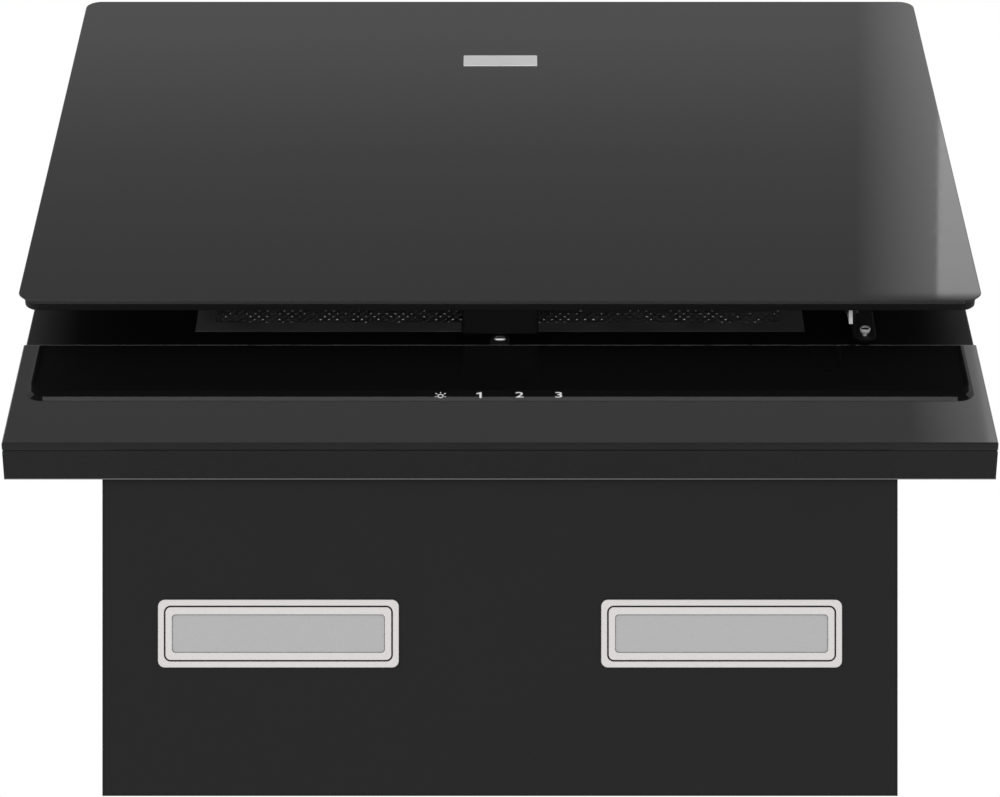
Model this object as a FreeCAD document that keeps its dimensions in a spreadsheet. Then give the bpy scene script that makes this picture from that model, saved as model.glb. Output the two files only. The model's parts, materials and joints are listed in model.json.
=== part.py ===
"""Angled wall hood, 50 cm class: sheet housing, hinged glass front panel, filter, blower and lamps.

World frame: X to the right seen from the front, Y towards the wall at Y = 0, Z up from the underside.
Slope frame: x along X, u up the sloped front tray, n outwards from the tray's front face.
"""

import FreeCAD, Part
import math
import os
import re
import Sketcher

DIMENSIONS = [
    # Housing of folded sheet
    ("body_width", 400, "over the side panels"),
    ("body_height", 372, "underside to top panel"),
    ("underside_depth", 159.247, "wall to the back edge of the tray's lower fold"),
    ("sheet", 1, "steel sheet"),
    ("hem", 14, "width of the housing's folded flanges"),
    ("seam", 0.4, "gap between folded flanges"),
    ("running_fit", 0.06, "radial clearance of a pin in its bore"),
    ("slip", 0.3, "clearance between parts that pass each other"),
    # Front tray and lower glass
    ("slope", 60, "front face above the horizontal, degrees"),
    ("tray_width", 498, ""),
    ("tray_length", 448, "up the slope"),
    ("tray_depth", 16.9, "front face to the back edge of the folds"),
    ("tray_drop", 2.95, "back edge of the lower fold below the underside"),
    ("tray_fold", 1.2, "outer fold radius"),
    ("glass", 4, "thickness of the lower glass"),
    ("bond", 0.4, "adhesive behind the lower glass"),
    ("lower_glass_height", 100.8, "up the slope"),
    ("glass_arris", 0.5, "ground edge of the lower glass"),
    ("touch_level", 48, "touch symbols up the slope"),
    ("touch_pitch", 20, "between touch symbols"),
    ("touch_pad", 9, "electrode diameter"),
    ("board", 1.6, "circuit board thickness"),
    ("board_length", 86, "touch board along X"),
    ("board_height", 24, "touch board up the slope"),
    ("plastic", 1.8, "moulded wall"),
    ("carrier_depth", 11, "touch carrier behind the tray"),
    # Front panel
    ("panel_width", 499.6, ""),
    ("panel_length", 379.3, "up the slope"),
    ("panel_bottom", 93.7, "lower edge up the slope"),
    ("panel_gap", 30.5, "tray face to the panel's back plate"),
    ("panel_glass", 3.2, "thickness"),
    ("panel_corner", 9, "corner radius"),
    ("panel_edge", 0.7, "rounding of the glass edge"),
    ("plate_inset", 1, "back plate inside the glass outline"),
    ("catch_width", 40.5, "catch block along X"),
    ("catch_bottom", 108, "lower face of the block up the slope"),
    ("catch_length", 22, "block up the slope"),
    ("catch_corner", 2.5, "block corner radius"),
    ("catch_edge", 0.8, "bevel round the block's face"),
    ("magnet_radius", 5, ""),
    ("magnet_height", 5.6, ""),
    ("magnet_dome", 2.6, "rounding of the magnet's face"),
    ("magnet_level", 110, "magnet up the slope"),
    ("striker_level", 114, "striker up the slope"),
    ("striker_radius", 4.5, ""),
    ("striker", 1.2, "striker thickness"),
    # Panel hinges
    ("hinge_x", 140, "hinge centre from the middle"),
    ("hinge_level", 436, "hinge axis up the slope"),
    ("hinge_stand", 15.25, "hinge axis off the tray face"),
    ("hinge_width", 24, "over the panel bracket's ears"),
    ("hinge_foot", 26, "bracket foot up the slope"),
    ("hinge_pin", 2.5, "pin radius"),
    ("pin_head", 3.5, "pin head radius"),
    ("knuckle", 5, "ear radius round a pivot"),
    ("bracket", 1.5, "bracket sheet"),
    # Folding stay
    ("stay_x", 186, "left face of the stay bracket's ear"),
    ("stay_level", 124, "stay pivots up the slope"),
    ("stay_stand", 12, "lower pivot off the tray face"),
    ("stay_length", 270, "pivot to elbow"),
    ("link", 2.1, "link thickness"),
    ("link_width", 9, ""),
    ("link_tail", 4, "link beyond its lower pivot, at its middle"),
    ("stay_pin", 2, "rivet radius"),
    ("rivet_head", 3.4, "rivet head radius"),
    ("rivet_cap", 1, "rivet head height"),
    ("foot_width", 12.3, "stay bracket foot along X"),
    ("foot_length", 30, "stay bracket foot above its screw"),
    ("screw_level", 117.3, "stay bracket screw up the slope"),
    ("screw_head", 3.3, "pan head radius"),
    ("screw_cap", 2.4, "pan head height"),
    ("screw_round", 1, "bevel of the pan head"),
    ("screw_shank", 1.5, "shank radius"),
    # Grease filter
    ("filter_width", 322, ""),
    ("filter_head", 59, "filter's upper edge below the housing's top, along the slope"),
    ("filter_bottom", 123, "lower edge up the slope"),
    ("filter_depth", 9, ""),
    ("filter_border", 10, "frame rail"),
    ("filter_fit", 0.5, "clearance round the filter"),
    ("mesh", 4, "mesh pack"),
    ("mesh_recess", 2, "mesh below the frame's face"),
    ("seat_ledge", 6, "ledge the filter rests on"),
    ("seat_flange", 8, "flange on the tray's back"),
    ("tongue_width", 24, "hooks under the filter's lower rail"),
    ("tongue_reach", 3.2, ""),
    ("tongue", 1.4, "tongue thickness"),
    ("tongue_x", 100, "tongue from the middle"),
    ("latch_width", 48, "slider along X"),
    ("latch_length", 18, "slider up the slope"),
    ("latch_travel", 6, ""),
    ("latch_rim", 5, "pocket wall round the slider"),
    ("bolt_width", 22, "latch bolt along X"),
    ("bolt", 2.6, "bolt thickness"),
    ("bolt_reach", 4.2, "bolt beyond the frame"),
    ("bolt_rise", 1.2, "bolt above the slider's floor"),
    # Lamps
    ("lamp_x", 111.4, "lamp centre from the middle"),
    ("lamp_y", 81.7, "lamp centre from the wall"),
    ("trim_length", 121, ""),
    ("trim_width", 34, ""),
    ("trim_corner", 3.4, ""),
    ("trim_rim", 2.95, "visible trim ring"),
    ("trim_face", 1.2, "trim below the underside"),
    ("trim_collar", 1.4, "trim wall through the cut-out"),
    ("trim_height", 9, "collar above the underside"),
    ("lamp_groove", 0.8, "gap between trim and lamp body"),
    ("window_length", 107, "diffuser"),
    ("window_width", 19.2, "diffuser"),
    ("window_corner", 1.8, ""),
    ("lamp_floor", 2, "lamp body face"),
    ("lamp_wall", 1.4, ""),
    ("lamp_top", 12, "lamp body above the underside"),
    ("diffuser", 1.5, "flange and plug thickness"),
    ("diffuser_step", 0.5, "diffuser above the lamp body's face"),
    # Blower
    ("blower_y", 140, "axis from the wall"),
    ("blower_z", 200, "axis above the underside"),
    ("wheel_radius", 80, ""),
    ("wheel_width", 104, ""),
    ("blade_count", 36, "blades"),
    ("blade_depth", 15, "radial"),
    ("blade", 1.3, "blade thickness"),
    ("blade_sweep", 7, "tip ahead of root, degrees"),
    ("blade_curve", 14, "blade radius"),
    ("wheel_ring", 2.5, "end ring thickness"),
    ("ring_width", 9, "end ring, radial"),
    ("ring_lip", 0.5, "end ring beyond the blade tips"),
    ("wheel_disc", 2, ""),
    ("hub_radius", 12, ""),
    ("hub_length", 22, ""),
    ("shaft_radius", 4, ""),
    ("shaft_length", 34, ""),
    ("tongue_gap", 9, "wheel to the scroll's tongue"),
    ("scroll_step", 13, "growth per quarter turn"),
    ("scroll_wall", 2.2, ""),
    ("scroll_side", 6, "wheel to side wall"),
    ("scroll_rim", 6, "mouth flange"),
    ("inlet_radius", 63, ""),
    ("inlet_lip", 6, "inlet ring height"),
    ("motor_radius", 46, ""),
    ("motor_flange", 6, "flange beyond the can"),
    ("motor_bell", 8, "end bell"),
    ("motor_clear", 3, "hub to motor"),
    ("spider", 2.2, "motor bracket sheet"),
    ("spider_arms", 3, "arms"),
    ("spider_arm", 16, "arm width"),
    ("spider_post", 5, "post radius"),
    ("spider_reach", 80, "posts from the axis"),
    ("capacitor_radius", 15, ""),
    ("capacitor_height", 56, ""),
    # Control box
    ("box_length", 120, "along Y"),
    ("box_height", 130, ""),
    ("box_depth", 44, "off the side panel"),
    ("box_floor", 20, "above the underside"),
    ("box_back", 40, "from the wall"),
    ("box_cover", 2, ""),
    # Outlet
    ("spigot_radius", 60, "outside"),
    ("spigot_height", 44, "above the flange"),
    ("collar_wall", 2, ""),
    ("collar_flange", 16, "flange beyond the spigot"),
    ("collar_base", 3, "flange thickness"),
    ("flap_stop", 3, "ledge under the flaps"),
    ("flap_level", 14, "ledge above the flange"),
    ("flap", 1.3, "flap thickness"),
    ("flap_gap", 1, "flap to spigot wall"),
    ("flap_pin", 1.5, "pin radius"),
    ("flap_knuckle", 3, "knuckle radius"),
    ("flap_spans", 5, "knuckle places along half the pin"),
    ("collar_screw", 1.8, "hole radius"),
    ("collar_screw_circle", 69, "hole circle radius"),
    ("gland_x", 140, "cable gland left of the middle"),
    ("gland_y", 60, "cable gland from the wall"),
    ("gland_bore", 4, ""),
    ("gland_radius", 8, ""),
    ("gland_flange", 4, "flange beyond the body"),
    ("gland_height", 9, "above the top panel"),
    # Wall fixing
    ("wall_hole_x", 130, "wall holes from the middle"),
    ("keyhole_drop", 46, "keyhole below the top"),
    ("keyhole_radius", 6, ""),
    ("keyhole_neck", 3, "neck half width"),
    ("keyhole_rise", 12, "neck end above the entry"),
    ("wall_hole_z", 34, "lower wall holes above the underside"),
    ("wall_hole", 3, "lower wall hole radius"),
]

DERIVED = [
    # Slope frame's origin: the tray's front face at its lower edge
    ("tray_y", "-underside_depth - tray_depth * sin(slope)"),
    ("tray_z", "-tray_drop - tray_depth * cos(slope)"),
    ("half_body", "body_width / 2"),
    ("inside", "half_body - sheet"),
    # Where the tray's back face meets the underside and the top
    ("tray_foot_y", "tray_y + tray_z / tan(slope) + sheet / sin(slope)"),
    ("tray_head_y", "tray_foot_y - body_height / tan(slope)"),
    ("front_run", "body_height / sin(slope)"),
    ("panel_back", "panel_gap + sheet"),
    ("panel_front", "panel_back + panel_glass"),
    ("stay_angle", "asin((hinge_stand - stay_stand) / stay_length) / 1 deg"),
    ("upper_stand", "2 * hinge_stand - stay_stand"),
    ("upper_link_x", "stay_x - 2 * slip - 2 * link"),
    ("lower_link_x", "stay_x - slip - link"),
    ("lug_x", "upper_link_x - slip - bracket"),
    ("foot_middle", "stay_x + foot_width / 2"),
    ("housing_top", "(body_height - tray_z - sheet * cos(slope)) / sin(slope)"),
    ("filter_top", "housing_top - filter_head"),
    ("latch_top", "filter_top - filter_border"),
    ("latch_floor", "mesh_recess + mesh + filter_fit"),
    ("pocket_length", "latch_length + latch_travel + 2 * slip"),
    ("bolt_level", "latch_floor - bolt_rise"),
    ("tongue_level", "sheet + tongue + filter_fit"),
    ("lamp_length", "trim_length - 2 * (trim_rim + lamp_groove)"),
    ("lamp_width", "trim_width - 2 * (trim_rim + lamp_groove)"),
    ("lamp_corner", "trim_corner - lamp_groove"),
    # Four-centre scroll: each quarter's centre shifts by one step
    ("scroll_r1", "wheel_radius + tongue_gap + scroll_step / 2"),
    ("scroll_r2", "scroll_r1 + scroll_step"),
    ("scroll_r3", "scroll_r2 + scroll_step"),
    ("centre_front", "-blower_y - scroll_step / 2"),
    ("centre_rear", "-blower_y + scroll_step / 2"),
    ("centre_low", "blower_z - scroll_step / 2"),
    ("centre_high", "blower_z + scroll_step / 2"),
    ("mouth_z", "body_height - sheet"),
    ("mouth_rear", "centre_rear + scroll_r3"),
    ("scroll_half", "wheel_width / 2 + scroll_side"),
    ("scroll_outer", "scroll_half + scroll_wall"),
    ("spider_x", "scroll_outer + inlet_lip + slip"),
    ("outlet_y", "(centre_front + mouth_rear) / 2"),
    ("flap_z", "body_height + collar_base + flap_level"),
    ("flap_axis_z", "flap_z + slip + flap_knuckle"),
    ("spigot_inside", "spigot_radius - collar_wall"),
    ("box_front", "box_back + box_length"),
]

doc = FreeCAD.newDocument("range_hood")
SHEET_OF = {}


def fill_sheet(name, rows):
    """Put names, values and notes into a sheet, and give each value its name as alias."""
    sheet = doc.addObject("Spreadsheet::Sheet", name)
    for row, cells in enumerate(rows, 1):
        alias = cells[0]
        sheet.set(f"A{row}", alias)
        sheet.setAlias(f"B{row}", alias)
        SHEET_OF[alias] = f"{name}.{alias}"
        text = cells[1] if isinstance(cells[1], str) else None
        sheet.set(f"B{row}", f"={bound(text)}" if text else str(cells[1]))
        if len(cells) > 2:
            sheet.set(f"C{row}", cells[2])
    doc.recompute()
    return sheet


def bound(text):
    """Write each size in an expression with the sheet that holds it."""
    return re.sub(r"[a-z][a-z_0-9]*", lambda word: SHEET_OF.get(word.group(0), word.group(0)), str(text))


dims = fill_sheet("Dims", DIMENSIONS)
fill_sheet("Derived", DERIVED)
SUB_PARTS = []


def number(text):
    """An expression's present value."""
    return float(dims.evalExpression(bound(text)))


def bind(item, **sizes):
    """Bind properties of a document object to expressions."""
    for name, text in sizes.items():
        item.setExpression(name, bound(text))


def new_body(label, x="0", y="0", z="0", turn="0"):
    """A sub-part in the world frame, moved and turned about X by expressions."""
    body = doc.addObject("PartDesign::Body", label)
    body.Label = label
    rotation = FreeCAD.Rotation(FreeCAD.Vector(1, 0, 0), number(turn))
    body.Placement = FreeCAD.Placement(FreeCAD.Vector(), rotation)
    for axis, text in (("x", x), ("y", y), ("z", z)):
        body.setExpression(f"Placement.Base.{axis}", bound(text))
    if turn != "0":
        body.setExpression("Placement.Rotation.Angle", bound(turn))
    SUB_PARTS.append(body)
    return body


def slope_body(label, x="0", u="0", n="0", tilt="0"):
    """A sub-part in the slope frame, with its own origin at x, u, n and tilted about X."""
    y = f"tray_y - ({u}) * cos(slope) - ({n}) * sin(slope)"
    z = f"tray_z + ({u}) * sin(slope) - ({n}) * cos(slope)"
    return new_body(label, x, y, z, f"180 - slope + ({tilt})")


def origin_item(body, role):
    """One of a body's own planes or axes."""
    return next(item for item in body.Origin.OriginFeatures if item.Role == role)


def new_sketch(body, plane, offset="0"):
    """A sketch on one of the body's planes, offset along the plane's normal."""
    sketch = body.newObject("Sketcher::SketchObject", f"{body.Label}_sketch")
    sketch.AttachmentSupport = [(origin_item(body, f"{plane}_Plane"), "")]
    sketch.MapMode = "FlatFace"
    sketch.setExpression("AttachmentOffset.Base.z", bound(offset))
    return sketch


def place_point(sketch, edge, end, x, y):
    """Dimension a point of a sketch from the origin."""
    for kind, text in (("DistanceX", x), ("DistanceY", y)):
        index = sketch.addConstraint(Sketcher.Constraint(kind, -1, 1, edge, end, number(text)))
        sketch.setExpression(f"Constraints[{index}]", bound(text))


def set_radius(sketch, edge, text):
    """Dimension the radius of a circle or an arc."""
    index = sketch.addConstraint(Sketcher.Constraint("Radius", edge, number(text)))
    sketch.setExpression(f"Constraints[{index}]", bound(text))


def arc_between(start, end, radius, turn):
    """An arc of under half a circle; turn is 1 for anticlockwise, -1 for clockwise."""
    chord = end - start
    rise = math.sqrt(radius ** 2 - (chord.Length / 2) ** 2)
    across = FreeCAD.Vector(-chord.y, chord.x, 0).normalize() * turn
    centre = (start + end) / 2 + across * rise
    first, last = (start, end) if turn > 0 else (end, start)
    angles = [math.atan2(point.y - centre.y, point.x - centre.x) for point in (first, last)]
    circle = Part.Circle(centre, FreeCAD.Vector(0, 0, 1), radius)
    return Part.ArcOfCircle(circle, angles[0], angles[1])


def outline(sketch, corners):
    """A closed outline. A corner is (x, y), or (x, y, radius, turn) where an arc follows it."""
    points = [FreeCAD.Vector(number(corner[0]), number(corner[1]), 0) for corner in corners]
    edges = []
    for corner, start, end in zip(corners, points, points[1:] + points[:1]):
        if len(corner) == 2:
            edges.append((sketch.addGeometry(Part.LineSegment(start, end)), 1, 2))
            continue
        arc = arc_between(start, end, number(corner[2]), corner[3])
        edge = sketch.addGeometry(arc)
        edges.append((edge, 1, 2) if corner[3] > 0 else (edge, 2, 1))
    for here, after in zip(edges, edges[1:] + edges[:1]):
        sketch.addConstraint(Sketcher.Constraint("Coincident", here[0], here[2], after[0], after[1]))
    for corner, (edge, start, _) in zip(corners, edges):
        place_point(sketch, edge, start, corner[0], corner[1])
        if len(corner) > 2:
            set_radius(sketch, edge, corner[2])


def rectangle(sketch, x0, x1, y0, y1):
    """A rectangle between two pairs of limits."""
    outline(sketch, [(x0, y0), (x1, y0), (x1, y1), (x0, y1)])


def rounded_rectangle(sketch, x0, x1, y0, y1, radius):
    """A rectangle with round corners."""
    left, right = f"{x0} + {radius}", f"{x1} - ({radius})"
    low, high = f"{y0} + {radius}", f"{y1} - ({radius})"
    outline(sketch, [
        (left, y0), (right, y0, radius, 1), (x1, low), (x1, high, radius, 1),
        (right, y1), (left, y1, radius, 1), (x0, high), (x0, low, radius, 1),
    ])


def circle(sketch, x, y, radius):
    """A circle with its centre and radius dimensioned."""
    centre = FreeCAD.Vector(number(x), number(y), 0)
    edge = sketch.addGeometry(Part.Circle(centre, FreeCAD.Vector(0, 0, 1), number(radius)))
    place_point(sketch, edge, 3, x, y)
    set_radius(sketch, edge, radius)


def extrude(kind, body, sketch, length, back=False):
    """A pad along the sketch's normal or a pocket against it; back turns it round."""
    feature = body.newObject(f"PartDesign::{kind}", f"{body.Label}_{kind.lower()}")
    feature.Profile = sketch
    feature.Reversed = back
    bind(feature, Length=length)
    doc.recompute()
    return feature


def pad(body, sketch, length, back=False):
    """Add material along the sketch's normal."""
    return extrude("Pad", body, sketch, length, back)


def pocket(body, sketch, length, back=False):
    """Take material away against the sketch's normal, and make sure that it did."""
    before = body.Shape.Volume
    feature = extrude("Pocket", body, sketch, length, back)
    if body.Shape.Volume > before - 1e-6:
        raise ValueError(f"{body.Label}: a pocket cuts nothing")
    return feature


def slab(body, plane, offset, limits, length, back=False):
    """Pad a rectangle."""
    sketch = new_sketch(body, plane, offset)
    rectangle(sketch, *limits)
    return pad(body, sketch, length, back)


def cut_slab(body, plane, offset, limits, length, back=False):
    """Pocket a rectangle."""
    sketch = new_sketch(body, plane, offset)
    rectangle(sketch, *limits)
    return pocket(body, sketch, length, back)


def cut_rounds(body, plane, offset, rounds, length, back=False):
    """Pocket circles, each given by its centre and radius."""
    sketch = new_sketch(body, plane, offset)
    for x, y, radius in rounds:
        circle(sketch, x, y, radius)
    return pocket(body, sketch, length, back)


def disc(body, plane, offset, radius, length, x="0", y="0", bore=None, back=False):
    """Pad a round, or a ring where a bore is given."""
    sketch = new_sketch(body, plane, offset)
    circle(sketch, x, y, radius)
    if bore:
        circle(sketch, x, y, bore)
    return pad(body, sketch, length, back)


def revolve(body, plane, axis, corners):
    """Turn a closed outline about one of the body's axes."""
    sketch = new_sketch(body, plane)
    outline(sketch, corners)
    feature = body.newObject("PartDesign::Revolution", f"{body.Label}_turned")
    feature.Profile = sketch
    feature.ReferenceAxis = (origin_item(body, f"{axis}_Axis"), [""])
    feature.Angle = 360
    doc.recompute()
    return feature


def round_edges(body, radius, wanted, kind="Fillet"):
    """Round or chamfer the edges of the last feature that a test picks out."""
    base = body.Tip
    names = [f"Edge{index}" for index, edge in enumerate(base.Shape.Edges, 1) if wanted(edge)]
    feature = body.newObject(f"PartDesign::{kind}", f"{body.Label}_{kind.lower()}")
    feature.Base = (base, names)
    bind(feature, **{"Radius" if kind == "Fillet" else "Size": radius})
    doc.recompute()
    return feature


def flat_at(axis, value):
    """A test for edges that lie at one height along an axis."""
    level = number(value)
    return lambda edge: all(abs(getattr(point.Point, axis) - level) < 1e-4 for point in edge.Vertexes)


def front_tray():
    """The pressed tray: folded rim, filter opening, window for the touch board and screw holes."""
    body = slope_body("front_tray")
    half = "tray_width / 2"
    slab(body, "XY", "-tray_depth", (f"-{half}", half, "0", "tray_length"), "tray_depth")
    round_edges(body, "tray_fold", flat_at("z", "0"))
    inner = f"{half} - sheet"
    cut_slab(body, "XY", "-sheet", (f"-({inner})", inner, "sheet", "tray_length - sheet"), "tray_depth")
    wide = "filter_width / 2 + filter_fit"
    limits = (f"-({wide})", wide, "filter_bottom - filter_fit", "filter_top + filter_fit")
    cut_slab(body, "XY", "0", limits, "sheet")
    window = "1.5 * touch_pitch + touch_pad / 2 + 2 * filter_fit"
    reach = "touch_pad / 2 + 2 * filter_fit"
    limits = (f"-({window})", window, f"touch_level - ({reach})", f"touch_level + {reach}")
    cut_slab(body, "XY", "0", limits, "sheet")
    cut_rounds(body, "XY", "0", [("foot_middle", "screw_level", "screw_shank + running_fit")], "sheet")


def filter_seat():
    """The folded frame behind the tray: flange, walls, ledge, and slots for the filter's tongues and bolt."""
    body = slope_body("filter_seat")
    wall = "filter_width / 2 + filter_fit + sheet"
    low, high = "filter_bottom - filter_fit - sheet", "filter_top + filter_fit + sheet"
    reach = f"({wall} + seat_flange)"
    limits = (f"-{reach}", reach, f"{low} - seat_flange", f"{high} + seat_flange")
    slab(body, "XY", "-2 * sheet", limits, "sheet")
    depth = "filter_depth + filter_fit + sheet"
    slab(body, "XY", f"-({depth})", (f"-({wall})", wall, low, high), f"{depth} - sheet")
    recess = "filter_width / 2 + filter_fit"
    limits = (f"-({recess})", recess, "filter_bottom - filter_fit", "filter_top + filter_fit")
    cut_slab(body, "XY", "-sheet", limits, "filter_depth + filter_fit - sheet")
    open_half = "filter_width / 2 - seat_ledge"
    limits = (f"-({open_half})", open_half, "filter_bottom + seat_ledge", "filter_top - seat_ledge")
    cut_slab(body, "XY", "-filter_depth", limits, "filter_fit + 2 * sheet")
    slot = "tongue_width / 2 + filter_fit"
    for side in ("", "-"):
        limits = (f"{side}tongue_x - ({slot})", f"{side}tongue_x + {slot}",
                  "-(tongue_level + tongue + filter_fit)", "-(tongue_level - filter_fit)")
        cut_slab(body, "XZ", f"-({low}) - 2 * sheet", limits, "3 * sheet", back=True)
    slot = "bolt_width / 2 + filter_fit"
    limits = (f"-({slot})", slot, "-(bolt_level + filter_fit)", "-(bolt_level - bolt - filter_fit)")
    cut_slab(body, "XZ", f"-({high}) - sheet", limits, "3 * sheet", back=True)


def lower_glass():
    """The lower glass with its ground edges."""
    body = slope_body("lower_glass")
    slab(body, "XY", "bond", ("-tray_width / 2", "tray_width / 2", "0", "lower_glass_height"), "glass")
    round_edges(body, "glass_arris", flat_at("z", "bond + glass"), "Chamfer")


def touch_unit():
    """The moulded carrier behind the tray's window and the touch board in it."""
    carrier = slope_body("touch_carrier", u="touch_level")
    half_x, half_u = "board_length / 2", "board_height / 2"
    outer_x, outer_u = f"{half_x} + filter_fit + plastic", f"{half_u} + filter_fit + plastic"
    limits = (f"-({outer_x})", outer_x, f"-({outer_u})", outer_u)
    slab(carrier, "XY", "-sheet - carrier_depth", limits, "carrier_depth")
    pocket_x, pocket_u = f"{half_x} + slip", f"{half_u} + slip"
    limits = (f"-({pocket_x})", pocket_x, f"-({pocket_u})", pocket_u)
    cut_slab(carrier, "XY", "-sheet", limits, "2 * board")
    inner_x, inner_u = f"{half_x} - plastic", f"{half_u} - plastic"
    limits = (f"-({inner_x})", inner_x, f"-({inner_u})", inner_u)
    cut_slab(carrier, "XY", "-sheet - 2 * board", limits, "carrier_depth - 2 * board - plastic")
    board = slope_body("touch_board", u="touch_level")
    slab(board, "XY", "-sheet - 2 * board", (f"-({half_x})", half_x, f"-({half_u})", half_u), "board")
    pads = new_sketch(board, "XY", "-sheet - board")
    for place in ("-1.5", "-0.5", "0.5", "1.5"):
        circle(pads, f"{place} * touch_pitch", "0", "touch_pad / 2")
    pad(board, pads, "sheet + board + bond - slip")


def slope_at(height, depth):
    """World y of a plane parallel to the tray, depth behind its front face, at a height."""
    return f"tray_y - ({height} - tray_z) / tan(slope) + ({depth}) / sin(slope)"


def folded_sheet(label, level, way):
    """Bottom or top panel: a plate with a fold along the tray's back and one along the back panel."""
    body = new_body(label)
    inner = f"{level} + {way} * sheet"
    edge = f"{level} + {way} * hem"
    step = f"{way} * hem * sin(slope)"
    run = f"{way} * hem * cos(slope)"
    fold = slope_at(level, "sheet")
    corners = [
        ("-sheet", level),
        ("-sheet", edge),
        ("-2 * sheet", edge),
        ("-2 * sheet", inner),
        (slope_at(inner, "2 * sheet"), inner),
        (f"{fold} - {run} + sheet * sin(slope)", f"{level} + {step} + sheet * cos(slope)"),
        (f"{fold} - {run}", f"{level} + {step}"),
        (fold, level),
    ]
    sketch = new_sketch(body, "YZ", "-inside")
    outline(sketch, corners)
    pad(body, sketch, "2 * inside")
    return body


def bottom_panel():
    """The underside with its two lamp cut-outs."""
    body = folded_sheet("bottom_panel", "0", "1")
    half_x, half_y = "trim_length / 2 - trim_rim + trim_collar", "trim_width / 2 - trim_rim + trim_collar"
    sketch = new_sketch(body, "XY", "2 * sheet")
    for side in ("", "-"):
        rounded_rectangle(sketch, f"{side}lamp_x - ({half_x} + slip)", f"{side}lamp_x + {half_x} + slip",
                          f"-lamp_y - ({half_y} + slip)", f"-lamp_y + {half_y} + slip", "trim_corner")
    pocket(body, sketch, "3 * sheet")


def screw_places():
    """The four screws on the outlet collar's flange."""
    reach = "collar_screw_circle * sqrt(0.5)"
    return [(f"{a}{reach}", f"{b}{reach}") for a in ("", "-") for b in ("", "-")]


def top_panel():
    """The top with the outlet hole, the collar's screw holes and the gland's hole."""
    body = folded_sheet("top_panel", "body_height", "-1")
    rounds = [("0", "outlet_y", "spigot_radius + slip"), ("-gland_x", "-gland_y", "gland_radius + slip")]
    rounds += [(x, f"outlet_y + {y}", "collar_screw") for x, y in screw_places()]
    cut_rounds(body, "XY", "body_height + sheet", rounds, "3 * sheet")


def side_panel(label, side):
    """A side of the housing with the flange that carries the tray."""
    body = new_body(label)
    left = "inside" if side == "" else "-half_body"
    sketch = new_sketch(body, "YZ", left)
    corners = [("0", "0"), ("0", "body_height"), ("tray_head_y", "body_height"), ("tray_foot_y", "0")]
    outline(sketch, corners)
    pad(body, sketch, "sheet")
    flange = new_sketch(body, "YZ", "inside - hem" if side == "" else "-inside")
    low, high = "(hem + 2 * sheet + seam)", "(front_run - hem - 2 * sheet - seam)"
    corners = []
    for run, depth in ((low, "0"), (low, "sheet"), (high, "sheet"), (high, "0")):
        corners.append((f"tray_foot_y - {run} * cos(slope) + {depth} * sin(slope)",
                        f"{run} * sin(slope) + {depth} * cos(slope)"))
    outline(flange, corners)
    pad(body, flange, "hem")


def back_panel():
    """The back with two keyholes and two lower screw holes, and flanges inside the side panels."""
    body = new_body("back_panel")
    slab(body, "XZ", "0", ("-inside", "inside", "0", "body_height"), "sheet")
    low, high = "hem + 2 * sheet + seam", "body_height - hem - 2 * sheet - seam"
    for edges in (("-inside", "-inside + sheet"), ("inside - sheet", "inside")):
        slab(body, "XZ", "sheet", (*edges, low, high), "hem - sheet")
    entry = "body_height - keyhole_drop"
    cut_rounds(body, "XZ", "2 * sheet", [
        ("wall_hole_x", entry, "keyhole_radius"), ("-wall_hole_x", entry, "keyhole_radius"),
        ("wall_hole_x", "wall_hole_z", "wall_hole"), ("-wall_hole_x", "wall_hole_z", "wall_hole"),
    ], "3 * sheet")
    necks = new_sketch(body, "XZ", "2 * sheet")
    for side in ("", "-"):
        middle = f"{side}wall_hole_x"
        outline(necks, [
            (f"{middle} - keyhole_neck", entry),
            (f"{middle} + keyhole_neck", entry),
            (f"{middle} + keyhole_neck", f"{entry} + keyhole_rise", "keyhole_neck", 1),
            (middle, f"{entry} + keyhole_rise + keyhole_neck", "keyhole_neck", 1),
            (f"{middle} - keyhole_neck", f"{entry} + keyhole_rise"),
        ])
    pocket(body, necks, "3 * sheet")


def scroll_outline(sketch, wall):
    """The spiral in three quarter arcs, then straight up to the mouth; wall moves it outwards."""
    r1, r2, r3 = (f"scroll_r{quarter} + {wall}" for quarter in (1, 2, 3))
    front = f"centre_front - {wall}"
    outline(sketch, [
        (front, f"centre_low + sqrt(({r1}) ^ 2 - ({wall}) ^ 2)", r1, 1),
        (f"centre_front - ({r1})", "centre_low", r2, 1),
        ("centre_rear", f"centre_low - ({r2})", r3, 1),
        (f"centre_rear + {r3}", "centre_high"),
        (f"centre_rear + {r3}", "mouth_z"),
        (front, "mouth_z"),
    ])


def scroll_half(label, side):
    """One half of the blower's housing: spiral wall, side wall with its inlet ring, mouth flange."""
    left = side == "-"
    body = new_body(label)
    shell = new_sketch(body, "YZ")
    scroll_outline(shell, "scroll_wall")
    pad(body, shell, "scroll_outer", back=left)
    hollow = new_sketch(body, "YZ")
    scroll_outline(hollow, "0 * scroll_wall")
    pocket(body, hollow, "scroll_half", back=not left)
    axis = ("-blower_y", "blower_z")
    inlet = new_sketch(body, "YZ", f"{side}scroll_half")
    circle(inlet, *axis, "inlet_radius")
    pocket(body, inlet, "2 * scroll_wall", back=not left)
    disc(body, "YZ", f"{side}scroll_outer", "inlet_radius + scroll_wall", "inlet_lip", *axis,
         bore="inlet_radius", back=left)
    rim = new_sketch(body, "XY", "mouth_z - scroll_wall")
    far, near = f"{side}(scroll_outer + scroll_rim)", f"{side}scroll_half"
    low, high = "centre_front - scroll_wall - scroll_rim", "mouth_rear + scroll_wall + scroll_rim"
    outline(rim, [
        ("0", low), (far, low), (far, high), ("0", high),
        ("0", "mouth_rear"), (near, "mouth_rear"), (near, "centre_front"), ("0", "centre_front"),
    ])
    pad(body, rim, "scroll_wall")


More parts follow.
